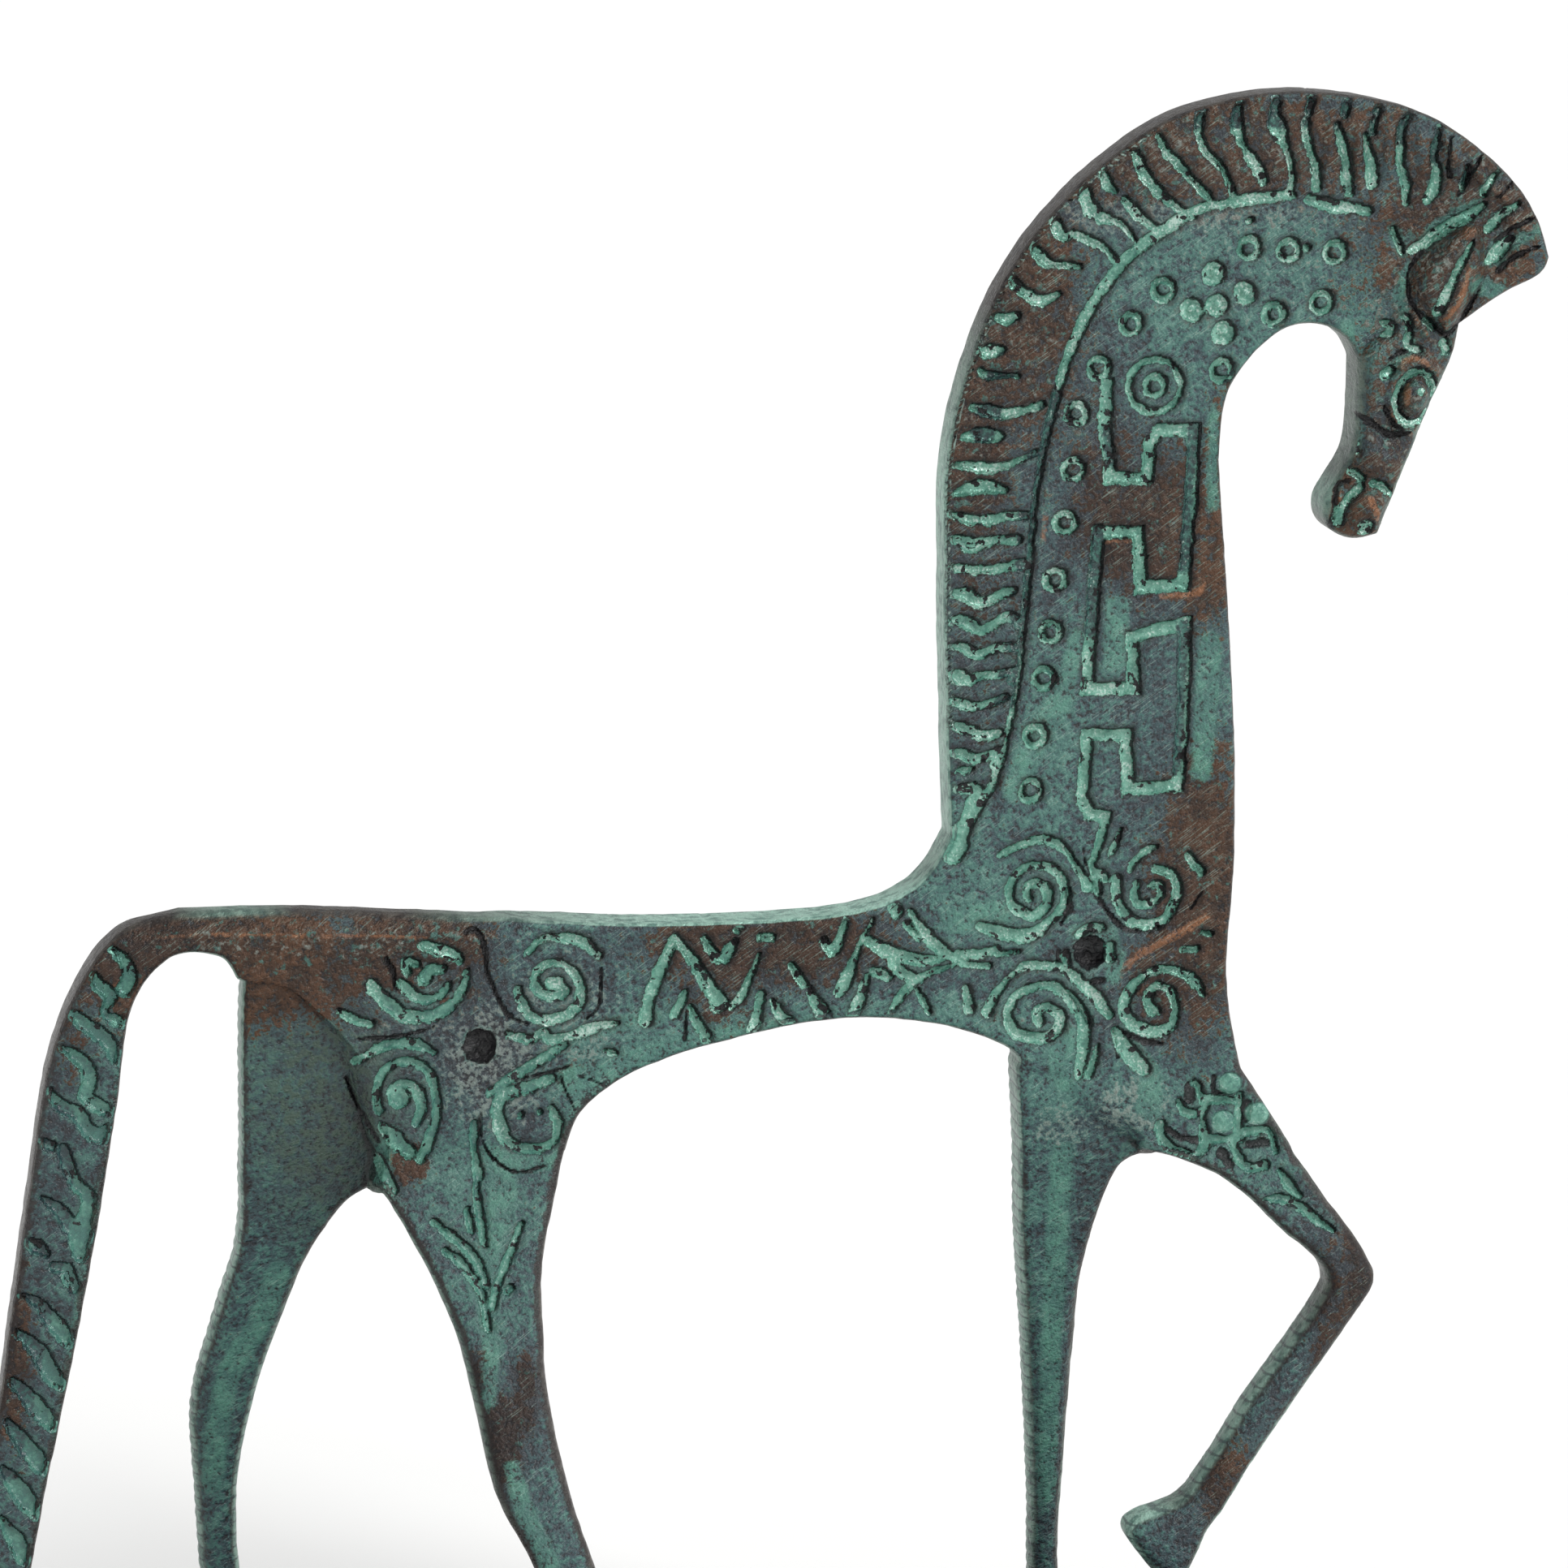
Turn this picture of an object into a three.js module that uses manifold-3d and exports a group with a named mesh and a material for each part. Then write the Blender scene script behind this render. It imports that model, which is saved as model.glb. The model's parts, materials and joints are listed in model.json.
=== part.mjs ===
// A small bronze horse, cast flat like a plate, walking with one foreleg raised, on a low plinth.
// Millimetres, +Z up. The horse faces +X, and the side with the sharper ornament faces -Y.
// The origin is the centre of the plinth's underside. Outline values are [x, height above the soles].

import * as THREE from 'three';
import { mergeVertices } from 'three/addons/utils/BufferGeometryUtils.js';
import Module from 'manifold-3d';

const wasm = await Module();
wasm.setup();

// Driving dimensions
const PLATE_THICKNESS = 10;
const HEAD_THICKNESS = 12.4;
const EDGE_BEVEL = 1;
const HEAD_BEVEL = 1.2;
const SAMPLE_STEP = 1.5;
const OUTLINE_TOLERANCE = 0.2;

const PLINTH_LENGTH = 190;
const PLINTH_DEPTH = 80;
const PLINTH_THICKNESS = 8;
const PLINTH_CORNER = 3;
const PLINTH_CHAMFER = 1.2;

const GROOVE_DEPTH = 0.8;
const GROOVE_SLOPE = 0.4;
const PIT_DEPTH = 1.8;
const CUT_CLEARANCE = 0.5;
const MEANDER_WIDTH = 2.3;
const BORDER_WIDTH = 2.2;
const SPIRAL_WIDTH = 1.6;
const STROKE_WIDTH = 1.7;
const FINE_STROKE = 1.2;

const RING_OUTER = 1.9;
const RING_HOLE = 0.75;
const RING_SIDES = 8;
const RING_CHAIN_COUNT = 11;
const SPIRAL_STEP_DEGREES = 45;
const SPIRAL_STEP_DEGREES_FAR = 72;
const LOCK_COUNT = 34;
const LOCK_SWING = 0.1;
const TAIL_STROKE_COUNT = 14;

const LEG_SIDES = 8;
const LEG_CORNER = 1.7;

// Outline of the plate, clockwise from the withers. Each stretch is one smooth curve, and the
// stretches meet at corners.
const CREST = [[31, 141], [30.4, 158], [30, 182], [30.6, 202], [36.5, 222], [46, 237], [60.5, 249.5],
  [74, 254.6], [88, 255.6], [104, 252.3], [116, 244.4], [122.3, 236.4], [124.6, 229.6]];
const FORELOCK = [[124.6, 229.6], [123.2, 227], [117, 223.8], [110.5, 219.5]];
const FACE = [[110.5, 219.5], [109.4, 214.5], [106, 207], [102, 197], [98, 187]];
const MUZZLE = [[98, 187], [94, 186.3], [90, 188.2], [89.2, 192], [91.2, 196]];
const THROAT = [[91.2, 196], [93.8, 201.6], [94.4, 214], [89.5, 219.4], [82, 218.4], [74.5, 210],
  [73, 199]];
const CHEST = [[73, 199], [74.4, 180], [75.9, 155], [75.7, 136], [74.5, 118.5], [76, 106], [79.2, 99.6]];
const SHOULDER = [[79.2, 99.6], [71, 93.4], [61, 91.2], [51, 98], [40.5, 107.5]];
const BELLY = [[40.5, 107.5], [29, 111.4], [14, 112.6], [-2.5, 110], [-17.5, 105.5], [-26, 99.6],
  [-29, 93]];
const HAUNCH = [[-29, 93], [-43, 90.5], [-57.4, 93], [-61.6, 102], [-65.4, 110.6], [-72.2, 118],
  [-79.5, 121.5]];
const TAIL_INSIDE = [[-79.5, 121.5], [-83, 125], [-89.5, 125], [-95.5, 117.5], [-98, 102.5], [-101.5, 82],
  [-106, 59.5], [-111, 36.5], [-115.8, 10]];
const TAIL_TIP = [[-115.8, 10], [-118.5, 4.6], [-122.5, 3.6], [-124.5, 8]];
const TAIL_OUTSIDE = [[-124.5, 8], [-121, 28], [-116.5, 59], [-112, 88.5], [-108.5, 109], [-103.5, 121.5],
  [-97, 129.4], [-88, 132]];
const BACK = [[-88, 132], [-69, 131.9], [-40, 130], [-12, 128.5], [14, 129.4], [25.5, 133.3], [31, 141]];
const STRETCHES = [CREST, FORELOCK, FACE, MUZZLE, THROAT, CHEST, SHOULDER, BELLY, HAUNCH, TAIL_INSIDE,
  TAIL_TIP, TAIL_OUTSIDE, BACK];

// The thicker head: brow, face, muzzle, jaw and the line behind the cheek and the ear.
const HEAD_BACK = [[94.4, 214], [97.5, 221], [103, 230.5], [110.5, 238], [115.5, 232], [110.5, 219.5]];

// Each leg is a loft of level sections: height, rear edge, front edge, middle in depth, thickness.
const NEAR_HIND_LEG = [[104, -60.6, -24, 0, 9.9], [97, -59.4, -28, 0, 9.9],
  [92.5, -58.2, -29.2, -0.1, 9.8], [88, -57.7, -30.3, -1.2, 9.7], [85.1, -56, -31, -2, 9.6],
  [75.6, -50.8, -33.1, -5.8, 9], [66.2, -46.9, -33.3, -9.8, 8.4], [56.8, -44.7, -32.9, -13.5, 8],
  [42.5, -41.6, -30.1, -18.4, 7.6], [31.5, -36.1, -26.6, -21.9, 7.4], [15, -30, -21.6, -24.6, 7.4],
  [9, -28.6, -16.5, -25.2, 9], [0, -29.6, -9.5, -25.6, 11]];
const FAR_HIND_LEG = [[122, -78.4, -70, 0, 9.8], [115.9, -78.6, -60, 0.9, 9.8],
  [105.3, -78.7, -50, 2.7, 9.6], [94.7, -78.7, -50.8, 4.9, 9.4], [88, -78.9, -56.6, 6.6, 9.2],
  [83.9, -78.9, -62.6, 7.7, 9], [75.5, -79.7, -67.8, 10.4, 8.8], [67.2, -82.1, -71, 13.1, 8.6],
  [50.4, -86.2, -76.1, 17.8, 8], [33.6, -85.6, -78.8, 21.6, 7.6], [15, -84.4, -77.4, 24, 7.4],
  [9, -84.8, -73, 24.5, 9], [0, -86, -66, 25, 11]];
const FAR_FRONT_LEG = [[104, 43.6, 66, 0, 9.9], [99, 42.9, 66.5, 0.5, 9.8], [94, 43.4, 66, 1.6, 9.7],
  [90, 43.4, 64, 2.7, 9.6], [88.4, 43.4, 60.4, 3.2, 9.5], [86.2, 43.5, 58.4, 3.9, 9.4],
  [79.8, 43.9, 56.3, 6, 9.2], [68.6, 44.9, 54.3, 9.6, 8.8], [57.3, 46, 53.9, 13, 8.4],
  [37.5, 47.6, 53.5, 18.3, 7.8], [15, 48.4, 53.6, 22.9, 7.4], [9, 48, 58.2, 24, 9],
  [0, 46.8, 65, 24.6, 11]];
const RAISED_FORELEG = [[104, 60, 75.4, 0, 9.9], [99.3, 60, 78.8, 0, 9.9], [94.7, 60.4, 82.1, 0, 9.9],
  [91, 61, 84.7, -0.3, 9.8], [89.2, 66.5, 86, -0.6, 9.7], [86.5, 73, 87.9, -1, 9.6],
  [83.2, 77.7, 90.2, -1.6, 9.4], [80, 81, 92.6, -2.2, 9.2], [76.5, 84.6, 95.2, -2.9, 9],
  [73, 88.7, 97.3, -3.5, 9], [69.6, 90.7, 98.6, -3.9, 9], [65.6, 89.1, 96.9, -4.2, 8.8],
  [50.4, 77.9, 86.1, -5.3, 8.2], [40.3, 71.3, 79, -6, 8], [35.3, 67.1, 75.9, -6.2, 8.4],
  [32.8, 60.5, 74.1, -6.3, 9], [30, 58.5, 71.9, -6.4, 9.4], [25, 61.9, 69.6, -6.5, 9.4],
  [20, 66.2, 67.4, -6.6, 7.6]];

// Ornament of the neck
const RING_CHAIN = [[64, 225.6], [54.1, 213.7], [49.9, 198], [46.9, 173], [43.6, 148]];
const NECK_RINGS = [[76.9, 231.7], [83, 231.3], [90.4, 230.9], [88.3, 223.2], [80.8, 221.6], [72.8, 212.8]];
const FLOWER_CENTRE = [71.7, 223.3];
const FLOWER_RADIUS = 4.5;
const FLOWER_PETALS = 4;
const FLOWER_TURN = 14;
const FLOWER_PIT = 1.9;
const TARGET_CENTRE = [62.8, 210.8];
const TARGET_OUTER = 4.8;
const TARGET_WIDTH = 1.6;
const MEANDER_LEAD_IN = [[55.3, 211], [55.5, 197], [61.9, 196.7], [62.1, 203.8]];
const MEANDER_STARTS = [[69, 204], [66.8, 173]];
const MEANDER_HOOK = [[0, 0], [-0.6, -24.4], [-7.9, -24.7], [-8.3, -16.2], [-14.6, -16]];
const MEANDER_LINK = [[53.1, 164], [59.8, 163.8], [59.6, 172.8]];
const MEANDER_END = [[52, 146.2], [55.6, 143.8]];

// Mane: the groove along its border, and the ends of the strokes between the locks of hair
const MANE_BORDER = [[34.2, 143.4], [38.6, 151], [41.9, 167.7], [44.3, 193], [50.7, 219.1], [64.5, 235.2],
  [84.7, 239], [103.2, 235.6], [113.6, 240]];
const LOCK_OUTER = [[31.9, 153.6], [31.6, 166], [31.9, 187.2], [36.3, 208.4], [41.2, 228.2], [51.9, 242],
  [63.8, 250.1], [81.9, 253], [98, 252], [111.8, 243.4], [122.3, 233]];
const LOCK_INNER = [[38.6, 153.2], [40.6, 165.4], [41.9, 186.6], [45.4, 206.6], [48.4, 225], [60, 233.8],
  [71.2, 240.4], [84, 241.2], [96.4, 241.2], [110.6, 240.4], [116.4, 229.4]];

// Spirals: centre, angle where the outer end starts, outer and inner radius, turns
const CHEST_SPIRALS = [
  { centre: [44.1, 131.4], start: 200, outer: 7.6, inner: 0.9, turns: 1.9 },
  { centre: [62.5, 131.9], start: 60, outer: 6.9, inner: 0.9, turns: 1.9 },
  { centre: [45.5, 111.4], start: -45, outer: 7.6, inner: 0.9, turns: 2 },
  { centre: [63.2, 114.8], start: 0, outer: 6.7, inner: 0.9, turns: 1.9 },
];
const HAUNCH_SPIRALS = [
  { centre: [-49.9, 121.1], start: 190, outer: 7.6, inner: 1, turns: 1.8 },
  { centre: [-30.5, 120], start: 15, outer: 7.2, inner: 1, turns: 1.8 },
];
const THIGH_SPIRALS = [
  { centre: [-54.2, 102.5], start: -75, outer: 6.4, inner: 1, turns: 1.8 },
  { centre: [-34.2, 99.2], start: 60, outer: 5.6, inner: 4.4, turns: 0.9 },
];
const OUTER_ARCS = [
  { centre: [44.1, 131.4], start: 140, outer: 8.4, inner: 8.9, turns: -0.45 },
  { centre: [45.5, 111.4], start: 160, outer: 7.6, inner: 10.4, turns: -0.42 },
];
const ROSETTE_PITS = [[53.6, 122.8], [-42.2, 110.1]];
const ROSETTE_RADIUS = 2.5;

// Single strokes: each is a list of corners
const BELLY_STROKES = [
  [[-16, 114.6], [-12, 126], [-4.2, 115.6]], [[-2.9, 115.8], [1.5, 123.8]], [[5.8, 123.4], [12.2, 114]],
  [[19, 127.8], [14, 117.2]], [[-7.4, 126.2], [-4.7, 123], [-2.4, 126]],
];
const LEAF_STROKES = [
  [[18.1, 125.3], [23.2, 122.6], [30.2, 121.7]], [[23.9, 130], [28.1, 124.8], [34.1, 121]],
  [[22, 113.9], [25.8, 118.4], [32.2, 121.1]], [[71, 127.5], [64.5, 123.9], [59.7, 120.8], [57.1, 116.6]],
  [[-40, 103.9], [-31.8, 110.9], [-20.3, 113.3]], [[-62.4, 108.6], [-57.2, 111], [-52.6, 111.2]],
];
const FORELEG_RINGS = [[74.2, 101.5], [73.9, 95.4], [79.1, 96.4]];
const FORELEG_RING_OUTER = 2.5;
const FORELEG_RING_HOLE = 1.5;
const TAIL_STROKE_TOP = 118;
const TAIL_STROKE_BOTTOM = 19;
const TAIL_STROKE_FALL = 7.5;
const TAIL_STROKE_MARGIN = 1.7;

// Head
const EAR_BASE = [105.4, 218.6];
const EAR_TIP = [113, 237];
const EAR_BREADTH = 10.4;
const EAR_PROUD = 1.2;
const EAR_ROOT = 3;
const EAR_SLIT = [[106.4, 222], [109.3, 227.2], [111.7, 232.4]];
const EYE_CENTRE = [103.4, 209.2];
const EYE_RADIUS = [3, 4.5];
const EYE_WIDTH = 1.1;
const EYE_DEPTH = 1.2;
const MOUTH_STROKES = [[[91.6, 197], [94.4, 195], [92.9, 191.4], [92.4, 187.2]],
  [[95.4, 195.2], [100.6, 192.6]]];
const NOSTRIL = [96, 188.9];
const NOSTRIL_RADIUS = 0.9;

const BRONZE_COLOUR = 0x46706a;
const PLINTH_COLOUR = 0x4a3c30;

const vector = ([x, z]) => new THREE.Vector2(x, z);
const curve = (points) => new THREE.SplineCurve(points.map(vector));
const pair = (point) => [point.x, point.y];

// A closed geometry as a solid that can be joined and cut.
function solidOf(geometry) {
  geometry.deleteAttribute('normal');
  geometry.deleteAttribute('uv');
  const merged = mergeVertices(geometry, 1e-4);
  return new wasm.Manifold(new wasm.Mesh({
    numProp: 3,
    vertProperties: new Float32Array(merged.attributes.position.array),
    triVerts: new Uint32Array(merged.index.array),
  }));
}

function geometryOf(solid) {
  const mesh = solid.getMesh();
  const geometry = new THREE.BufferGeometry();
  geometry.setAttribute('position', new THREE.BufferAttribute(new Float32Array(mesh.vertProperties), 3));
  geometry.setIndex(new THREE.BufferAttribute(new Uint32Array(mesh.triVerts), 1));
  geometry.computeVertexNormals();
  return geometry;
}

// A prism that stands in depth: its outline lies in X and Z, and it runs from -thickness / 2 to
// +thickness / 2 in Y, with both rims bevelled inside the outline. slope is the bevel's breadth.
function plate(shape, thickness, bevel, slope = bevel) {
  const geometry = new THREE.ExtrudeGeometry(shape, {
    depth: thickness - 2 * bevel,
    bevelEnabled: bevel > 0,
    bevelThickness: bevel,
    bevelSize: slope,
    bevelOffset: -slope,
    bevelSegments: 1,
    curveSegments: RING_SIDES / 2,
  });
  geometry.translate(0, 0, bevel - thickness / 2);
  geometry.rotateX(Math.PI / 2);
  return geometry;
}

// One closed outline from stretches of smooth curve, with no more points than its bends need.
function outlineOf(stretches) {
  const points = stretches.flatMap((stretch) => {
    const line = curve(stretch);
    const samples = line.getSpacedPoints(Math.ceil(line.getLength() / SAMPLE_STEP));
    return thinned(samples, OUTLINE_TOLERANCE).slice(0, -1);
  });
  return new THREE.Shape(points);
}

// The points of a line without those that lie within the tolerance of a straight run.
function thinned(points, tolerance) {
  const [first, last] = [points[0], points.at(-1)];
  const run = last.clone().sub(first).normalize();
  const offsets = points.map((point) => Math.abs(point.clone().sub(first).cross(run)));
  const furthest = offsets.indexOf(Math.max(...offsets));
  if (offsets[furthest] <= tolerance) {
    return [first, last];
  }
  const before = thinned(points.slice(0, furthest + 1), tolerance);
  return [...before.slice(0, -1), ...thinned(points.slice(furthest), tolerance)];
}

// A leg with its hoof: a cylinder's rows are moved onto the sections, boxes with cut corners.
function leg(stations) {
  const rows = stations.length - 1;
  const geometry = new THREE.CylinderGeometry(1, 1, 1, LEG_SIDES, rows, false, Math.PI / LEG_SIDES);
  const boxy = (v, half) => Math.sign(v) * (Math.abs(v) > 0.5 ? half : half - LEG_CORNER);
  const position = geometry.attributes.position;
  for (let i = 0; i < position.count; i += 1) {
    const [z, rear, front, middle, thickness] = stations[Math.round((0.5 - position.getY(i)) * rows)];
    const onAxis = Math.hypot(position.getX(i), position.getZ(i)) < 0.5;
    const across = onAxis ? 0 : boxy(position.getX(i), (front - rear) / 2);
    const deep = onAxis ? 0 : boxy(position.getZ(i), thickness / 2);
    position.setXYZ(i, (rear + front) / 2 + across, middle - deep, z);
  }
  return geometry;
}

// The outline of a stroke of even width along a line of corners, pointed a little at its ends.
function strokeShape(corners, width) {
  const line = corners.map(vector);
  const sides = [[], []];
  line.forEach((point, i) => {
    const back = line[Math.max(i - 1, 0)];
    const ahead = line[Math.min(i + 1, line.length - 1)];
    const arriving = (i > 0 ? point.clone().sub(back) : ahead.clone().sub(point)).normalize();
    const leaving = (i < line.length - 1 ? ahead.clone().sub(point) : point.clone().sub(back)).normalize();
    const across = arriving.add(leaving).normalize();
    const mitre = (width / 2) / Math.max(across.dot(leaving), 0.5);
    sides[0].push(new THREE.Vector2(point.x - across.y * mitre, point.y + across.x * mitre));
    sides[1].unshift(new THREE.Vector2(point.x + across.y * mitre, point.y - across.x * mitre));
  });
  return new THREE.Shape([...sides[0], ...sides[1]]);
}

function ringShape([x, z], outer, hole, stretch = 1) {
  const shape = new THREE.Shape();
  shape.absellipse(x, z, outer, outer * stretch, 0, 2 * Math.PI);
  if (hole > 0) {
    const rim = new THREE.Path();
    rim.absellipse(x, z, hole, outer * stretch - (outer - hole), 0, 2 * Math.PI);
    shape.holes.push(rim);
  }
  return shape;
}

function spiralCorners({ centre, start, outer, inner, turns }, stepDegrees) {
  const steps = Math.round(Math.abs(turns * 360) / stepDegrees);
  return Array.from({ length: steps + 1 }, (_, i) => {
    const angle = THREE.MathUtils.degToRad(start + (i * turns * 360) / steps);
    const radius = THREE.MathUtils.lerp(outer, inner, i / steps);
    return [centre[0] + radius * Math.cos(angle), centre[1] + radius * Math.sin(angle)];
  });
}

// The cutter for an engraved figure on one face: a prism that narrows towards the groove's floor.
// side is -1 for the near face and +1 for the far one.
function cutter(shape, side, face = PLATE_THICKNESS / 2, depth = GROOVE_DEPTH) {
  const height = 2 * (depth + CUT_CLEARANCE);
  const geometry = plate(shape, height, depth, GROOVE_SLOPE);
  return geometry.translate(0, side * (face - depth + height / 2), 0);
}

// The meander: two hooks of the same form, one below the other, with a link between them.
function meanderCorners() {
  const [upper, lower] = MEANDER_STARTS.map(([x, z]) => MEANDER_HOOK.map(([dx, dz]) => [x + dx, z + dz]));
  return [...MEANDER_LEAD_IN, ...upper, ...MEANDER_LINK, ...lower, ...MEANDER_END];
}

// The strokes between the locks of the mane, each bent a little on its way from the crest to the border.
function maneStrokes() {
  const outer = curve(LOCK_OUTER);
  const inner = curve(LOCK_INNER);
  return Array.from({ length: LOCK_COUNT }, (_, i) => {
    const t = outer.getUtoTmapping(i / (LOCK_COUNT - 1));
    const from = outer.getPoint(t);
    const to = inner.getPoint(t);
    const along = to.clone().sub(from);
    const swing = new THREE.Vector2(-along.y, along.x).multiplyScalar(LOCK_SWING);
    return [from, from.clone().lerp(to, 0.4).add(swing), to].map(pair);
  });
}

// Slanting strokes down the tail, between its two edges.
function tailStrokes() {
  const edgeAt = (stretch, z) => {
    const k = stretch.findIndex((point, i) => i > 0 && (point[1] - z) * (stretch[i - 1][1] - z) <= 0);
    const [from, to] = [stretch[k - 1], stretch[k]];
    return THREE.MathUtils.mapLinear(z, from[1], to[1], from[0], to[0]);
  };
  return Array.from({ length: TAIL_STROKE_COUNT }, (_, i) => {
    const z = THREE.MathUtils.lerp(TAIL_STROKE_TOP, TAIL_STROKE_BOTTOM, i / (TAIL_STROKE_COUNT - 1));
    const low = z - TAIL_STROKE_FALL;
    const from = edgeAt(TAIL_OUTSIDE, z) + TAIL_STROKE_MARGIN;
    const to = edgeAt(TAIL_INSIDE, low) - TAIL_STROKE_MARGIN;
    return [[from, z], [(from + to) / 2, (z + low) / 2 - 0.7], [to, low]];
  });
}

// Engraved figures that both faces carry.
function commonFigures(spiralStep) {
  const spirals = [...CHEST_SPIRALS, ...HAUNCH_SPIRALS];
  return [
    ringShape(TARGET_CENTRE, RING_OUTER, RING_HOLE),
    ringShape(TARGET_CENTRE, TARGET_OUTER, TARGET_OUTER - TARGET_WIDTH),
    strokeShape(meanderCorners(), MEANDER_WIDTH),
    strokeShape(thinned(curve(MANE_BORDER).getSpacedPoints(60), OUTLINE_TOLERANCE).map(pair), BORDER_WIDTH),
    ...spirals.map((spiral) => strokeShape(spiralCorners(spiral, spiralStep), SPIRAL_WIDTH)),
    ...BELLY_STROKES.map((corners) => strokeShape(corners, STROKE_WIDTH)),
  ];
}

function flowerCentres() {
  const [x, z] = FLOWER_CENTRE;
  const petals = Array.from({ length: FLOWER_PETALS }, (_, i) => {
    const angle = THREE.MathUtils.degToRad(FLOWER_TURN + (i * 360) / FLOWER_PETALS);
    return [x + FLOWER_RADIUS * Math.cos(angle), z + FLOWER_RADIUS * Math.sin(angle)];
  });
  return [FLOWER_CENTRE, ...petals];
}

function nearFigures() {
  const chain = curve(RING_CHAIN).getSpacedPoints(RING_CHAIN_COUNT - 1).map(pair);
  return [
    ...commonFigures(SPIRAL_STEP_DEGREES),
    ...[...chain, ...NECK_RINGS].map((centre) => ringShape(centre, RING_OUTER, RING_HOLE)),
    ...FORELEG_RINGS.map((centre) => ringShape(centre, FORELEG_RING_OUTER, FORELEG_RING_HOLE)),
    ...flowerCentres().map((centre) => ringShape(centre, FLOWER_PIT, 0)),
    ...OUTER_ARCS.map((arc) => strokeShape(spiralCorners(arc, SPIRAL_STEP_DEGREES), SPIRAL_WIDTH)),
    ...THIGH_SPIRALS.map((spiral) => strokeShape(spiralCorners(spiral, SPIRAL_STEP_DEGREES), SPIRAL_WIDTH)),
    ...LEAF_STROKES.map((corners) => strokeShape(corners, SPIRAL_WIDTH)),
    ...[...maneStrokes(), ...tailStrokes()].map((corners) => strokeShape(corners, STROKE_WIDTH)),
  ];
}

// The far face is plainer: its mane and tail strokes are straight, and it has no small figures.
function farFigures() {
  const straight = ([from, , to]) => strokeShape([from, to], STROKE_WIDTH);
  return [...commonFigures(SPIRAL_STEP_DEGREES_FAR), ...[...maneStrokes(), ...tailStrokes()].map(straight)];
}

function headSolid() {
  const shape = outlineOf([FACE, MUZZLE, THROAT.slice(0, 3), HEAD_BACK]);
  return solidOf(plate(shape, HEAD_THICKNESS, HEAD_BEVEL));
}

// The ear lies on the cheek as a raised leaf.
function ear(side) {
  const spine = vector(EAR_TIP).sub(vector(EAR_BASE));
  const swell = new THREE.Vector2(-spine.y, spine.x).setLength(EAR_BREADTH);
  const middle = vector(EAR_BASE).lerp(vector(EAR_TIP), 0.45);
  const leaf = new THREE.Shape();
  leaf.moveTo(...EAR_BASE);
  leaf.quadraticCurveTo(...pair(middle.clone().sub(swell)), ...EAR_TIP);
  leaf.quadraticCurveTo(...pair(middle.clone().add(swell)), ...EAR_BASE);
  const height = EAR_PROUD + EAR_ROOT;
  const geometry = plate(leaf, height, EAR_PROUD, EAR_PROUD / 2);
  return geometry.translate(0, side * (HEAD_THICKNESS / 2 + EAR_PROUD - height / 2), 0);
}

function headCutters(side) {
  const face = HEAD_THICKNESS / 2;
  const eye = ringShape(EYE_CENTRE, EYE_RADIUS[0], EYE_RADIUS[0] - EYE_WIDTH, EYE_RADIUS[1] / EYE_RADIUS[0]);
  return [
    cutter(eye, side, face, EYE_DEPTH),
    cutter(ringShape(NOSTRIL, NOSTRIL_RADIUS, 0), side, face),
    cutter(strokeShape(EAR_SLIT, FINE_STROKE), side, face + EAR_PROUD),
    ...MOUTH_STROKES.map((corners) => cutter(strokeShape(corners, FINE_STROKE), side, face)),
  ];
}

function horseSolid() {
  const legs = [NEAR_HIND_LEG, FAR_HIND_LEG, FAR_FRONT_LEG, RAISED_FORELEG];
  const body = solidOf(plate(outlineOf(STRETCHES), PLATE_THICKNESS, EDGE_BEVEL));
  const masses = [headSolid(), ...legs.map((stations) => solidOf(leg(stations))), solidOf(ear(-1)), solidOf(ear(1))];
  const cutters = [
    ...nearFigures().map((shape) => cutter(shape, -1)),
    ...ROSETTE_PITS.map((centre) => cutter(ringShape(centre, ROSETTE_RADIUS, 0), -1, undefined, PIT_DEPTH)),
    ...farFigures().map((shape) => cutter(shape, 1)),
    ...headCutters(-1),
    ...headCutters(1),
  ];
  const whole = masses.reduce((solid, mass) => solid.add(mass), body);
  return cutters.reduce((solid, tool) => solid.subtract(solidOf(tool)), whole);
}

function plinthGeometry() {
  const [halfLength, halfDepth] = [PLINTH_LENGTH / 2, PLINTH_DEPTH / 2];
  const shape = new THREE.Shape();
  shape.moveTo(-halfLength + PLINTH_CORNER, -halfDepth);
  shape.lineTo(halfLength - PLINTH_CORNER, -halfDepth);
  shape.absarc(halfLength - PLINTH_CORNER, -halfDepth + PLINTH_CORNER, PLINTH_CORNER, -Math.PI / 2, 0);
  shape.absarc(halfLength - PLINTH_CORNER, halfDepth - PLINTH_CORNER, PLINTH_CORNER, 0, Math.PI / 2);
  shape.absarc(-halfLength + PLINTH_CORNER, halfDepth - PLINTH_CORNER, PLINTH_CORNER, Math.PI / 2, Math.PI);
  shape.absarc(-halfLength + PLINTH_CORNER, -halfDepth + PLINTH_CORNER, PLINTH_CORNER, Math.PI, 1.5 * Math.PI);
  const geometry = new THREE.ExtrudeGeometry(shape, {
    depth: PLINTH_THICKNESS - 2 * PLINTH_CHAMFER,
    bevelThickness: PLINTH_CHAMFER,
    bevelSize: PLINTH_CHAMFER,
    bevelOffset: -PLINTH_CHAMFER,
    bevelSegments: 1,
    curveSegments: 3,
  });
  return geometry.translate(0, 0, PLINTH_CHAMFER);
}

function named(name, geometry, colour, roughness, metalness) {
  const material = new THREE.MeshStandardMaterial({ color: colour, roughness, metalness });
  const mesh = new THREE.Mesh(geometry, material);
  mesh.name = name;
  return mesh;
}

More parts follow.
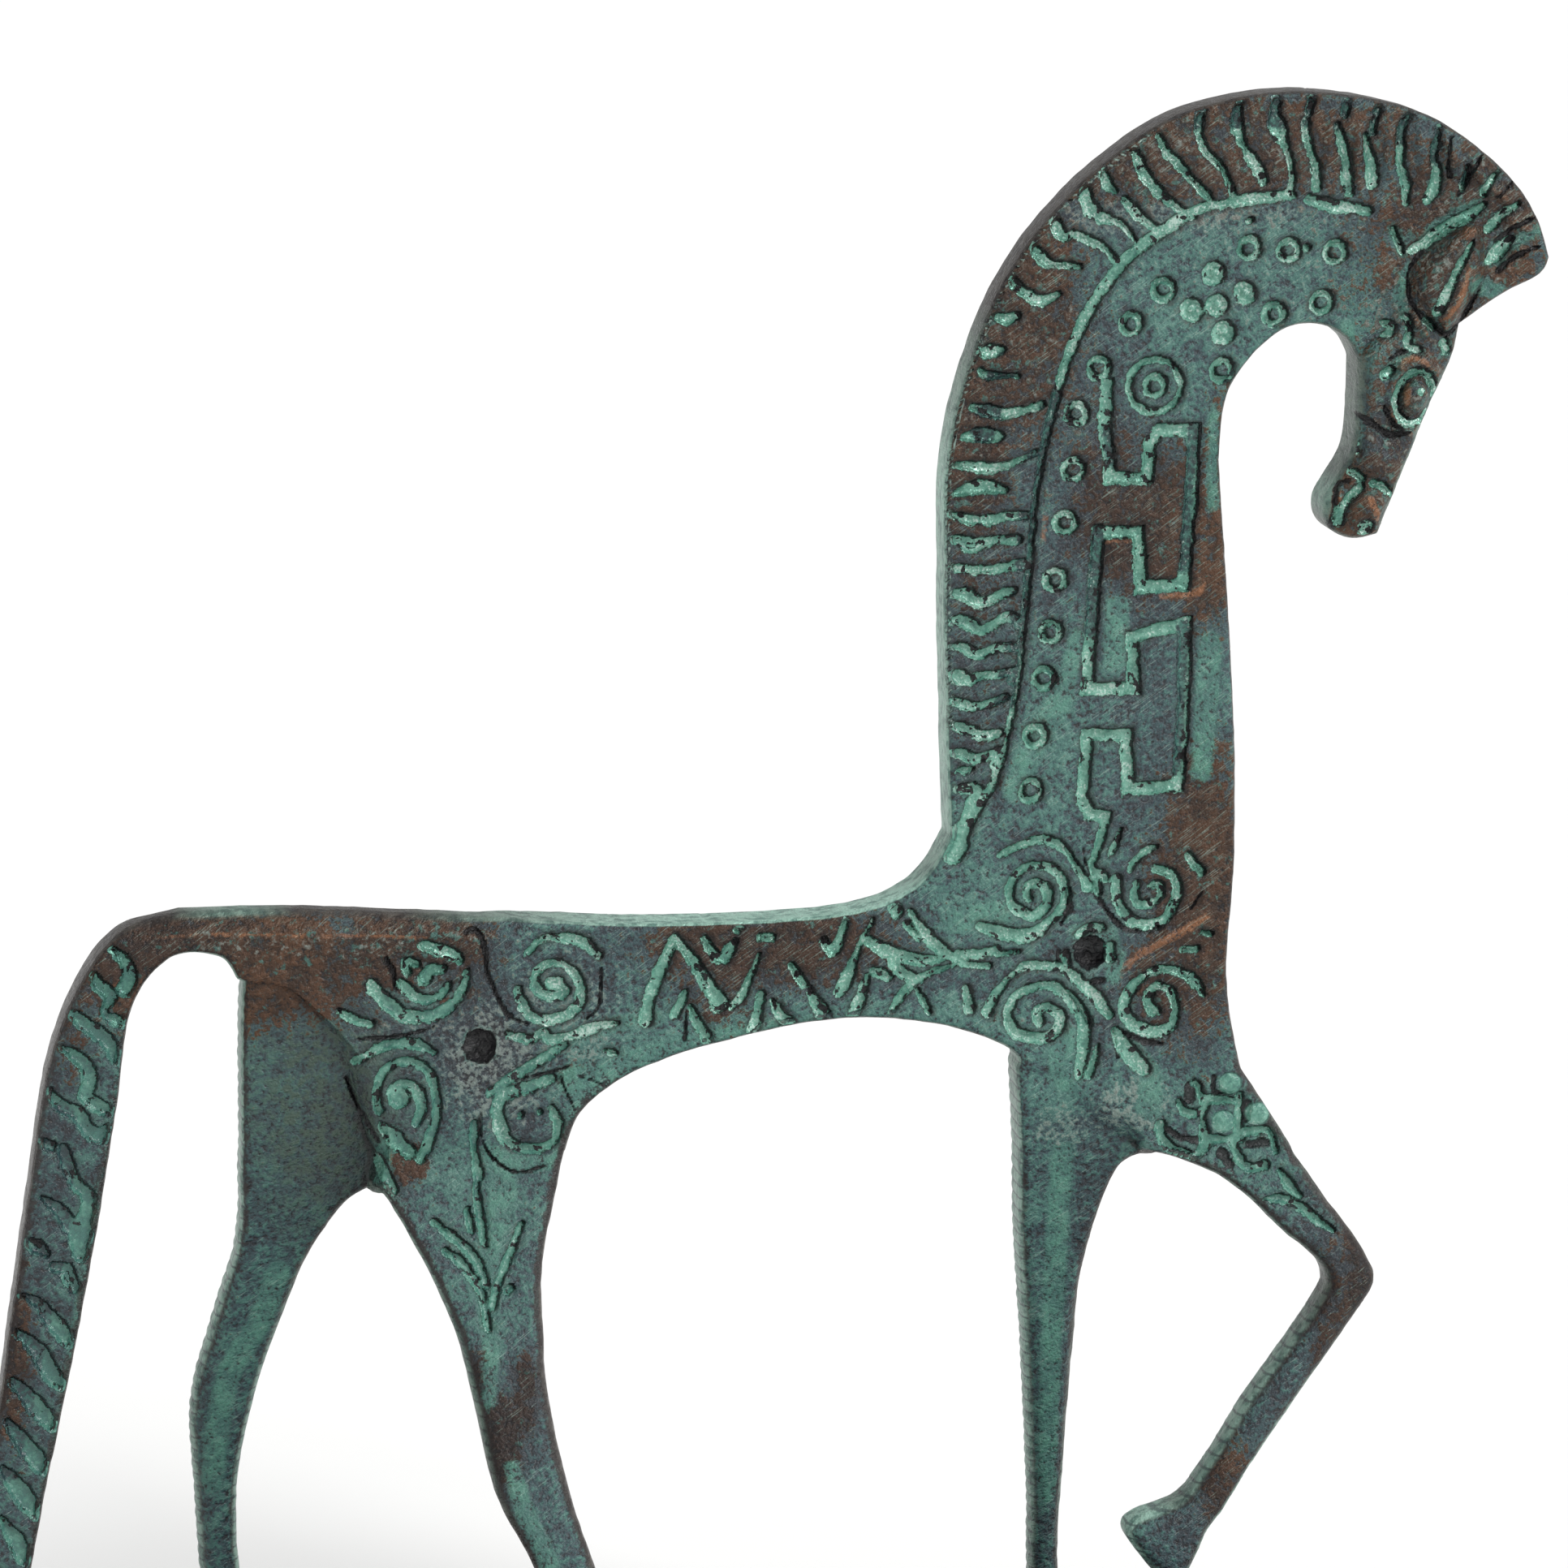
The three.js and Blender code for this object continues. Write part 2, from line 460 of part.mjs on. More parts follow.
// The horse stands on the plinth, with its length centred on it.
function horseGroup() {
  const horse = named('horse', geometryOf(horseSolid()), BRONZE_COLOUR, 0.6, 0.5);
  horse.geometry.computeBoundingBox();
  const { min, max } = horse.geometry.boundingBox;
  const group = new THREE.Group();
  group.position.set(-(min.x + max.x) / 2, 0, PLINTH_THICKNESS);
  group.add(horse);
  return group;
}

const sculpture = new THREE.Group();
sculpture.add(horseGroup());
sculpture.add(named('plinth', plinthGeometry(), PLINTH_COLOUR, 0.5, 0.6));

export default sculpture;
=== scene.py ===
"""A small bronze horse, cast flat, with engraved ornament under green patina, on a low plinth."""
import json
import math

import bpy
import numpy as np
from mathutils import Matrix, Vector

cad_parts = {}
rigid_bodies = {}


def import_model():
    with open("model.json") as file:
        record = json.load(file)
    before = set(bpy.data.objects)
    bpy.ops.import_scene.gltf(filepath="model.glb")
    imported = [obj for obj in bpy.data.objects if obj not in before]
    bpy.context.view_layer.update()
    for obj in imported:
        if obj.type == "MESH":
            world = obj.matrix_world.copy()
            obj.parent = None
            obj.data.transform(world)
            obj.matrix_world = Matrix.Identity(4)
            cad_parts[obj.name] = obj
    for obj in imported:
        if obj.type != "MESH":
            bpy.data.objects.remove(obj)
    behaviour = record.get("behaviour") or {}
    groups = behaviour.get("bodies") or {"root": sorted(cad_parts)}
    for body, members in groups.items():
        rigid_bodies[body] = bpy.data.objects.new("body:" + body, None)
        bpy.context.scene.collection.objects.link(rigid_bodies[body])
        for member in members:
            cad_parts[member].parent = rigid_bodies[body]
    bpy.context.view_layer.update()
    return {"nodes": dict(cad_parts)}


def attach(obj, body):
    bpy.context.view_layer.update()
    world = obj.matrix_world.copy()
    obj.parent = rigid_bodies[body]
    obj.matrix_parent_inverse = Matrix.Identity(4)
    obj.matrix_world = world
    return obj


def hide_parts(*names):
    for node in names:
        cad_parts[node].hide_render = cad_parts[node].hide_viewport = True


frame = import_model()

# Sizes are millimetres. Points of the horse are [x, height above the soles].
MM = 0.001
PLINTH_TOP = 8.0
SHIFT_X = -0.05

# The two faces, by the sign of their depth, and the seeds of the uneven rasters
NEAR = -1
FAR = 1
SEEDS = {"wear": 3, "rags": 5, "pit floor": 8, "ripples": 12}

# Thickness, and the rounding and wear of the edges
PLATE_THICKNESS = 10.0
HEAD_THICKNESS = 12.4
HALF_AT_EDGE = 0.3
LEAST_THICKNESS = 0.1
EDGE_ROUND = 1.0
HEAD_ROUND = 2.2
LEG_ROUND = 2.7
LEG_ROUND_HEIGHTS = [60, 92]
SOLE_ROUND = 0.7
BELOW_SOLE = -4
WORN_EDGE = 0.12
WORN_SIZES = [1.6, 4.5]

# Where the legs run into the plate
BLEND = 1.1
SHARPNESS = 4
JOINT_ROUND = 5.0
JOINT_START = 1
JOINT_GROWTH = 2.5
OUTER_FALL = 1.6

# The croup leans back to its top edge between the middle two of these places along x
BEVEL_SPAN = [-101, -92, -44, -34]
BEVEL_FLOOR = 100
BEVEL_HEIGHT = 3.4
BEVEL_STEEPNESS = 0.95
BEVEL_START = 0.7

# Mesh and rasters
GRID_STEP = 0.28
SNAP_REACH = 0.48 * GRID_STEP
SNAP_TURNS = 2
LEAST_STEEPNESS = 0.25
SLACK = 0.01
DOT_CORE = 0.1
RING_POINTS = 31
RASTER_STEP = 0.125
RASTER_LOW = (-128.0, -5.0)
RASTER_HIGH = (128.0, 259.0)
RASTER_REACH = 3.0
RIM_ROWS = 6
TRIANGLES = 196000
CREASE_DEGREES = 38

# Grooves, cracks, pits and the faces' small ripples
GROOVE_DEPTH = 0.9
GROOVE_WALL = 0.8
CREASE_DEPTH = 0.55
CREASE_WALL = 0.4
PIT_DEPTH = 1.7
PIT_WALL = 0.9
PIT_ROUGHNESS = 0.8
PIT_SIZES = [0.9, 2.1]
LIP = 1.0
LIP_DEPTH = 0.2
OUTLINE = 0.4
RAGGED = 0.3
RAGGED_SIZES = [0.55, 1.4]
PIT_RAGGED = 1.5
EDGE_KEPT = 0.5
EDGE_FADE = 0.8
FORMS_FADE = 1.5
# The fill sits this far to the lower left in its groove, so the dark upper-right wall is painted shade
FILL_SHIFT_LEAVING_SHADE = [0.28, 0.2]
SNAPPED_WALL = 0.3
RIPPLE_HEIGHT = 0.07
RIPPLE_SIZES = [0.9, 2.6]

# Ornament and file marks
MEANDER_WIDTH = 2.1
RING_MIDDLE = 1.5
RING_WIDTH = 1.2
SCALLOP = 0.16
SCALLOP_PITCH = 2.1
SCALLOP_STEP = 0.25
TICKS_END = [104, 108]
NICK_PITCH = 1.15
NICK_START = 0.3
NICK_LENGTH = 0.9
NICK_SLANT = 0.5
NICK_WIDTH = 0.2

# Every noise in the materials
NOISE_ROUGHNESS = 0.55

# Camera, light and floor. The floor's reach and the camera's sight are metres.
CAMERA_PLACE = (-159.6, -1176.3, 352.2 + PLINTH_TOP)
CAMERA_TARGET = (5, -5, 150 + PLINTH_TOP)
CAMERA_LENS = 178.9
SENSOR_WIDTH = 36
SIGHT = 60
TO_SUN = (600, -500, 620)
SUN_ENERGY = 2.5
SUN_DEGREES = 28
SKY_STRENGTH = 0.6
FLOOR_REACH = 40.0

# Outline of the plate, clockwise from the withers
CREST = [[31, 141], [30.4, 158], [30, 182], [30.6, 202], [36.5, 222], [46, 237], [60.5, 249.5],
         [74, 254.6], [88, 255.6], [104, 252.3], [116, 244.4], [122.3, 236.4], [124.6, 229.6]]
FORELOCK = [[124.6, 229.6], [123.2, 227], [117, 223.8], [110.5, 219.5]]
FACE = [[110.5, 219.5], [109.4, 214.5], [106, 207], [102, 197], [98, 187]]
MUZZLE = [[98, 187], [94, 186.3], [90, 188.2], [89.2, 192], [91.2, 196]]
THROAT = [[91.2, 196], [93.8, 201.6], [94.4, 214], [89.5, 219.4], [82, 218.4], [74.5, 210], [73, 199]]
BREAST = [[73, 199], [74.4, 180], [75.9, 155], [76, 136], [75, 118.5], [76.5, 107], [78.6, 99.4]]
SHOULDER = [[78.6, 99.4], [71, 93.4], [61, 91.2], [51, 96], [42.4, 104.6]]
UNDERSIDE = [[42.4, 104.6], [39.8, 107.6], [29, 111.4], [14, 112.6], [-2.5, 110], [-17.5, 105.5],
             [-26, 99.6], [-29, 93]]
RUMP = [[-29, 93], [-43, 90.5], [-57.4, 93], [-61.6, 102], [-65.4, 110.6], [-72.2, 118], [-79.5, 121.5]]
TAIL_INSIDE = [[-79.5, 121.5], [-82.2, 125], [-89.5, 125], [-95.5, 117.5], [-98, 102.5], [-101.5, 82],
               [-106, 59.5], [-111, 36.5], [-115.8, 10]]
TAIL_TIP = [[-115.8, 10], [-118.5, 4.6], [-122.5, 3.6], [-124.5, 8]]
TAIL_OUTSIDE = [[-124.5, 8], [-121, 28], [-116.5, 59], [-112, 88.5], [-108.5, 109], [-103.5, 121.5],
                [-97, 129.4], [-88, 132]]
BACK = [[-88, 132], [-69, 131.9], [-40, 130], [-12, 128.5], [14, 129.4], [25.5, 133.3], [31, 141]]
CROUP = [[-103.5, 121.5], [-97, 129.4], [-88, 132], [-69, 131.9], [-40, 130], [-30, 129.4]]
STRETCHES = [CREST, FORELOCK, FACE, MUZZLE, THROAT, BREAST, SHOULDER, UNDERSIDE, RUMP, TAIL_INSIDE,
             TAIL_TIP, TAIL_OUTSIDE, BACK]
HEAD_BACK = [[94.4, 214], [97.5, 221], [103, 230.5], [110.5, 238], [115.5, 232], [110.5, 219.5]]
HEAD_STRETCHES = [FACE, MUZZLE, THROAT[:3], HEAD_BACK]

# Leg sections: height, rear edge, front edge, middle in depth, thickness
NEAR_HIND_LEG = [[104, -60.6, -24, 0, 9.9], [97, -59.4, -28, 0, 9.9], [92.5, -58.2, -29.2, -.1, 9.8],
                 [88, -57.7, -30.3, -1.2, 9.7], [85.1, -56, -31, -2, 9.6], [75.6, -50.8, -33.1, -5.8, 9],
                 [66.2, -46.9, -33.3, -9.8, 8.4], [56.8, -44.7, -32.9, -13.5, 8],
                 [42.5, -41.6, -30.1, -18.4, 7.6], [31.5, -36.1, -26.6, -21.9, 7.4],
                 [15, -30, -21.6, -24.6, 7.4], [9, -28.6, -16.5, -25.2, 9], [0, -29.6, -9.5, -25.6, 11]]
FAR_HIND_LEG = [[124, -78.2, -70, 0, 9.8], [115.9, -79, -60, .9, 9.8], [105.3, -79, -50, 2.7, 9.6],
                [94.7, -78.9, -50.8, 4.9, 9.4], [88, -79, -56.6, 6.6, 9.2], [83.9, -78.9, -62.6, 7.7, 9],
                [75.5, -79.7, -67.8, 10.4, 8.8], [67.2, -82.1, -71, 13.1, 8.6],
                [50.4, -86.2, -76.1, 17.8, 8], [33.6, -85.6, -78.8, 21.6, 7.6], [15, -84.4, -77.4, 24, 7.4],
                [9, -84.8, -73, 24.5, 9], [0, -86, -66, 25, 11]]
FAR_FRONT_LEG = [[110, 42.6, 64, 0, 9.9], [104, 41.7, 66, .2, 9.9], [99, 41.9, 66.5, .5, 9.8],
                 [94, 42.3, 66, 1.6, 9.7], [90, 42.6, 64, 2.7, 9.6], [88.4, 42.7, 60.4, 3.2, 9.5],
                 [86.2, 42.8, 58.4, 3.9, 9.4], [79.8, 43.2, 56.3, 6, 9.2], [68.6, 44.2, 54.3, 9.6, 8.8],
                 [57.3, 45.4, 53.9, 13, 8.4], [37.5, 47.2, 53.5, 18.3, 7.8], [15, 48.4, 53.6, 22.9, 7.4],
                 [9, 48, 58.2, 24, 9], [0, 46.8, 65, 24.6, 11]]
RAISED_FORELEG = [[104, 60, 76.9, 0, 9.9], [99.3, 60, 79.9, 0, 9.9], [94.7, 60.4, 82.9, 0, 9.9],
                  [91, 61, 85.1, -.3, 9.8], [89.2, 66.5, 86, -.6, 9.7], [86.5, 73, 87.9, -1, 9.6],
                  [83.2, 77.7, 90.2, -1.6, 9.4], [80, 81, 92.6, -2.2, 9.2], [76.5, 84.6, 95.2, -2.9, 9],
                  [73, 88.7, 97.3, -3.5, 9], [69.6, 90.7, 98.6, -3.9, 9], [65.6, 89.1, 96.9, -4.2, 8.8],
                  [50.4, 77.9, 86.1, -5.3, 8.2], [40.3, 71.3, 79, -6, 8], [35.3, 67.1, 75.9, -6.2, 8.4],
                  [32.8, 60.5, 74.1, -6.3, 9], [30, 58.5, 71.9, -6.4, 9.4], [25, 61.9, 69.6, -6.5, 9.4],
                  [20, 66.2, 67.4, -6.6, 7.6]]
LEGS = [NEAR_HIND_LEG, FAR_HIND_LEG, FAR_FRONT_LEG, RAISED_FORELEG]
SCALLOPED_LEGS = [FAR_HIND_LEG, FAR_FRONT_LEG]

# Ornament on the neck
RING_CHAIN = [[64, 225.6], [59, 220.4], [54.1, 213.7], [50.6, 206.7], [50.1, 198], [49, 189.8],
              [47.5, 181], [46.8, 172.9], [45.8, 165.7], [44.5, 156.7], [43.8, 148.1]]
NECK_RINGS = [[77.4, 231.8], [83.6, 231.4], [90.9, 231], [88.8, 223.3], [81.4, 221.6], [73.3, 212.9]]
FLOWER = [[72, 228], [68.5, 222.4], [72.4, 223.1], [76.8, 224.9], [73.5, 218.8]]
FLOWER_WIDTH = 3.7
FLOWER_CURL = 0.75
PETAL_HEIGHT = 0.5
PETAL_POWER = 0.7
TARGET = [62.8, 210.8]
TARGET_MIDDLE = 4.1
TARGET_WIDTH = 1.2
MEANDER = [[55.3, 211.1], [55.1, 205.3], [55.9, 196.7], [61.7, 196.4], [62.2, 202], [63.5, 203.9],
           [69, 204], [68.6, 193.7], [67.5, 179.8], [60.9, 179.5], [60.3, 188.1], [54.1, 188.2],
           [53.1, 173.8], [52.6, 163.9], [59.8, 163.8], [59.6, 171.8], [67.9, 173.8], [67.7, 160.8],
           [66.9, 148.3], [59.1, 148], [58.7, 156.5], [52.6, 156.7], [51.9, 146.5], [53.3, 144.2],
           [55.5, 143.7]]

# Strokes are [x, height, width] along a curve. These run from the mane's edge to its border.
MANE = [
    [[32, 148.6, .6], [33.8, 148.7, 1.5], [35.6, 148.1, 1.4], [34.7, 146.2, 2.3], [33.5, 143.4, 1.8],
     [32.4, 140.5, 3.4], [31.7, 138.4, 3]],
    [[32.2, 151.6, .7], [33.4, 151.4, 1.1], [34.7, 151.7, .5]],
    [[31.3, 154.3, .7], [32.9, 154.1, 1.4], [34.8, 153.3, 1.4], [37, 153.6, 1.3], [38.8, 154, 1.8],
     [38.4, 152.2, 1.8]],
    [[31.4, 158.8, .6], [33, 158.2, 1.3], [35, 157.4, 1.4], [37.3, 156.8, 1.5], [38.7, 157.2, 1.4]],
    [[30.9, 162.4, .7], [32.7, 162.1, 1.3], [34.6, 161.4, 1.4], [36.6, 161.7, 1.1], [39.8, 162.8, 1.1]],
    [[30.5, 166.2, 1.1], [32.3, 166.2, 2], [34.1, 165.6, 1.6], [35.9, 166.3, 1.2], [38.3, 166.4, 1.1],
     [40.8, 166.6, 1.5], [40.7, 165.3, 1.4]],
    [[31, 170.8, .8], [33, 171, 1.2], [34.6, 169.9, 1.7], [36.2, 169.7, 1.5], [38.3, 170.5, 1.3],
     [41.7, 170.4, 1.3]],
    [[30.5, 174.8, .7], [32.8, 174.9, 1.8], [34.6, 174, 1.8], [36, 173.4, 1.4], [38, 174.2, 1.3],
     [40.4, 175.4, 1.3], [41.9, 174.2, 1.4]],
    [[31.5, 179, .7], [33.3, 179, 1.8], [34.9, 177.9, 1.7], [36.3, 177.5, 1.4], [38.6, 178.7, 1.3],
     [41.1, 179.5, 1]],
    [[30.5, 183.3, .6], [32.6, 183, 1.3], [35.1, 182.8, 1.2], [37.6, 182.8, 1.1], [40.4, 183.2, 1.4],
     [42.5, 183.4, 1.8]],
    [[30.8, 187.8, .6], [32.6, 187.3, 1.8], [34.5, 186.5, 2.1], [36.5, 187, 1.4], [39, 187.3, 1.2],
     [41.4, 187.3, 1.4]],
    [[30.8, 191.5, .5], [32.6, 190.9, 1.4], [34.5, 190.5, 1.4], [37.2, 190.4, 1.3], [39.6, 191, 1.2],
     [42.8, 191, 1.1]],
    [[31.6, 194.6, .6], [34, 195.3, 1.8], [36.4, 195.7, 2.2], [39.4, 195.1, .8]],
    [[31.5, 199.1, .7], [34, 198.8, 1.2], [37.3, 198.5, 1.6], [39.8, 198.9, .8], [44.3, 200.7, .7]],
    [[33.1, 203.3, .7], [35.6, 203.7, 2], [38.2, 203.3, 2.1]],
    [[34.4, 208, .9], [36.7, 207.4, 1.7], [40, 206.9, 1.3], [45.3, 208.1, .8]],
    [[35.6, 213.6, .6], [36.8, 212.6, 1.2], [38.6, 212.8, .6], [41.4, 212.6, .5]],
    [[35.6, 216.7, 1], [37.2, 216.5, 2], [39.1, 216.7, .7]],
    [[37.9, 221.7, 1.2], [39.5, 221.4, 1.5], [41.3, 221.9, 1.1]],
    [[40.1, 228.1, .7], [41.3, 226.4, 1.3], [43.1, 225, 1.4], [45, 224.1, 1.5], [47.7, 225.2, .5]],
    [[43.5, 233.2, .7], [44.5, 231.3, 1.5], [45.9, 230, 1.5], [47.7, 229.7, .9], [50.9, 229.4, .6]],
    [[46.8, 237, 1.2], [47.7, 234.9, 2], [48.6, 234, 1.4]],
    [[49.7, 234.4, .7], [52.2, 233.5, 1.1], [55, 231.9, .9], [57.3, 229.3, .7]],
    [[51.4, 241.4, 1.4], [52.2, 238.9, 2], [53.6, 237.1, 2], [55.4, 236.6, 1.1], [57.7, 235.5, .6],
     [60.1, 232.5, .6]],
    [[54.4, 244.1, 1.2], [55.2, 242, 1.5], [56.3, 240.7, .7]],
    [[57.9, 239.5, 1], [59.6, 237.5, 1.4], [61.9, 235.6, 1.1], [63.7, 234.7, .8]],
    [[59.4, 246.6, .9], [60.6, 244.2, 1.5], [62.3, 241.5, 1.5], [64.6, 239.2, 1.2], [68.5, 236.7, .8]],
    [[62.9, 249.4, .6], [64.1, 247.1, 1], [65.9, 245.1, 1.1], [68.2, 242.6, 1], [71.3, 239.4, .8]],
    [[69.7, 253.4, 1.2], [69.3, 250.9, 1.2], [69.8, 248.2, 1], [71.2, 245.9, .9], [73.1, 244.1, .7],
     [74.7, 240, .8]],
    [[75.9, 254.4, .9], [75.3, 252.6, 1.6], [75.5, 249.5, 1.7], [76.5, 247.4, .7], [77.4, 245.8, 1.7],
     [78.6, 244.2, 1.6], [79.5, 242, 1.3]],
    [[81.4, 254.8, 1.4], [81.2, 252.6, 1.4], [81.6, 249.9, 2.7], [82.7, 248, 1.1], [83.6, 245.3, .8],
     [84, 242.6, .8], [83.7, 240.3, 1]],
    [[86.8, 254.8, 1.1], [86.5, 252.5, 1]],
    [[85.9, 251.1, 1], [86.1, 249, .9], [86.8, 246.5, 1.3], [87.6, 243.9, 1.3], [87.8, 241.1, 1.4]],
    [[92.4, 254.3, .9], [92.1, 252.1, .9]],
    [[90.8, 250.5, .8], [91.6, 247.8, 1.2], [92.3, 245.3, 1.4], [92.6, 241.7, 1.7], [92.9, 240.3, 1.4]],
    [[97.4, 253.2, .9], [96.6, 251, .9], [96.5, 249.2, .8]],
    [[95.2, 248.9, .7], [95.8, 246.7, 1.1], [96.4, 244.2, 1.6], [96.6, 241.7, 1.8]],
    [[102.1, 251.9, 1.1], [100.9, 249.5, 1.1], [100.9, 246.3, 1], [100.9, 244.1, 1],
     [101.7, 241.6, 1.3], [101.8, 238.4, .9]],
    [[106.9, 250.2, .6], [106.4, 247.3, .9], [106.1, 245.2, .9], [106.6, 243.3, 1.2],
     [106.2, 240.5, 1.8], [105.1, 239, 1.4]],
    [[111.4, 244, .5], [111, 242.2, .9], [110.6, 240.8, .6]],
    [[116.4, 243.2, .4], [114.6, 241.1, 1.2], [114.1, 239.6, .9]],
    [[119.4, 238.1, .6], [117.3, 236.7, 1.1], [115.4, 234.9, 1.6], [114.9, 234.2, 1.1]],
    [[118.4, 232.5, .7], [116.6, 230.9, 2.2], [115.2, 229.5, 1.4]],
]
MANE_BORDER = [
    [[31.1, 138.5, 1.6], [35.2, 145, 1.2], [38.4, 150.7, .9], [40.5, 158.9, .8], [41.9, 167.7, .7],
     [43.3, 182.9, .8], [44.5, 195.4, .8], [47, 207.9, 1.2], [50.7, 219.1, 1.5], [56.9, 229, 1.6],
     [64.5, 235.2, 1.7], [70.3, 238.2, 1.3], [73.9, 238.7, 1.3], [78.3, 239.4, 1.6], [84, 239.9, 1.1]],
    [[86.7, 239.3, 1.4], [90, 238.2, 1.8], [93.3, 237.7, 1.6], [95.9, 237.3, 1.3]],
    [[102.6, 231.1, .9], [104.8, 232.2, 1.4], [108.4, 234.7, 1.6], [111.7, 236.4, 1.6], [113.9, 237.8, 1.1]],
]

# Spirals and leaves on the chest
CHEST = [
    [[43.6, 131.1, 1.1], [43.1, 132.4, 1.3], [44.7, 133.5, 1.1], [46.5, 132.3, 1.4], [46.3, 130, 1.6],
     [44.5, 128.4, 1.4], [42.3, 129.1, 1.4], [40.7, 131.1, 1.1], [40.8, 133.7, 1.1], [42.6, 135.8, 1.1],
     [45.2, 136.4, 1], [47.4, 135.7, 1], [48.9, 133.9, 1.1], [49.3, 131.6, 1.1], [48.5, 129, 1.3],
     [46.5, 127.1, 1.3], [44.6, 125.6, 1.8], [42, 125.2, 1.9], [38.7, 126, 2], [35.8, 127, .8]],
    [[39.1, 138, .8], [41.2, 139.1, 1.1], [44.5, 140.3, 1], [47.7, 139.9, 1.1], [49.7, 138.1, .8],
     [51.7, 135.1, 1], [53, 132.8, 1.6]],
    [[60.5, 132.9, 1], [60.2, 131.3, 1.1], [61.2, 129.8, 1.1], [63.5, 130.1, 1], [64.4, 131.5, 1.1],
     [63.9, 133, 1], [62.6, 132.5, .6]],
    [[63.4, 135.4, 1], [66.1, 134.4, 1.1], [67.1, 132.1, 1.3], [66.4, 129.8, 1.4], [64.8, 127.2, 1.4],
     [62.9, 126.5, 1.6], [60.2, 127, 1.6], [58.3, 129, 1.4], [57.4, 131.4, 1.4], [57.4, 134, 1.3]],
    [[59.5, 135.5, .6], [61.5, 137.8, 1], [63.4, 138.7, .8]],
    [[68.6, 137.3, 1], [70.8, 134.6, 1]],
    [[45.3, 111.7, 1.6], [45, 113, 1.6], [46.6, 113.9, 1.4], [48.6, 112.6, 1.4], [48.6, 110.9, 1.6],
     [46.9, 109, 1.6], [43.7, 109.1, 1.6], [41.4, 110.2, 1.6], [40.4, 112.5, 1.4], [40.9, 114.8, 1.4],
     [42.7, 116.4, 1.3], [45.3, 117.3, 1.1], [47.9, 116.9, 1.4], [50.5, 114.8, 1.7], [52.2, 111.8, 1.7],
     [52.5, 109.2, 1.7], [52.2, 105.9, 1.7], [51.6, 103, 1.3]],
    [[40.8, 119, .5], [43, 120.4, 1.1], [45.9, 120.5, 1.1], [49.2, 119.8, 1.3], [51.8, 117.7, 1.6],
     [54.4, 115, 1.8], [56.4, 112.4, 1.3]],
    [[40.4, 118.7, .6], [38.4, 116.1, 1.3], [37.1, 113.4, 1.6]],
    [[63.6, 112.8, 1.5], [62.6, 113.8, 1.6], [62.6, 115.8, 1.3], [63.9, 116.8, 1], [65.6, 116.4, .8],
     [66.6, 114.7, 1], [66.9, 112.4, 1.1], [66.3, 110.4, 1.3], [64.3, 109.5, 1.6], [61.7, 109.9, 1.7],
     [59.4, 111.6, 1.8], [58.7, 113.9, 1.6], [59.7, 116.2, 1.6], [61.6, 118.1, 1.1], [64.2, 119.4, 1],
     [66.8, 119.1, 1.1], [69.5, 117.6, 1.3], [71.1, 115.2, 1]],
    [[54.8, 134.8, 1.2], [55.6, 134, 1.2]],
    [[55.2, 142.8, 1.1], [54.6, 139.6, 1.1], [53.8, 137.3, 1]],
    [[58, 141.5, .3], [57.2, 139.5, 1.1], [56.4, 137.9, .8]],
    [[53.3, 136.7, .8], [54.3, 133.7, .8], [54.6, 131.8, .8]],
    [[54.5, 107.5, .5], [54, 105.2, 1.1], [53.2, 102.9, .9]],
    [[57.4, 109.7, 1.3], [58.9, 107, 2.3], [60.8, 104.7, 2.5], [62.2, 103.3, 1.5]],
    [[51.7, 125.3, 1.2], [53, 126.2, 1.3], [55, 126.2, 1.3]],
    [[56.5, 123.2, 1.3], [56.6, 121.4, 1.3]],
    [[49.3, 122.2, 1.2], [49.7, 120.8, 1]],
    [[70.9, 125.1, .6], [72.4, 124.7, .6]],
    [[67.8, 122.4, .6], [70.3, 122.5, .6]],
    [[38.7, 122.4, .8], [42, 122.7, .6]],
    [[35, 120.8, .8], [37.3, 120.7, .8]],
    [[32.4, 122.4, 1.4], [34.8, 122.5, 1.3], [38.6, 123, .9]],
]

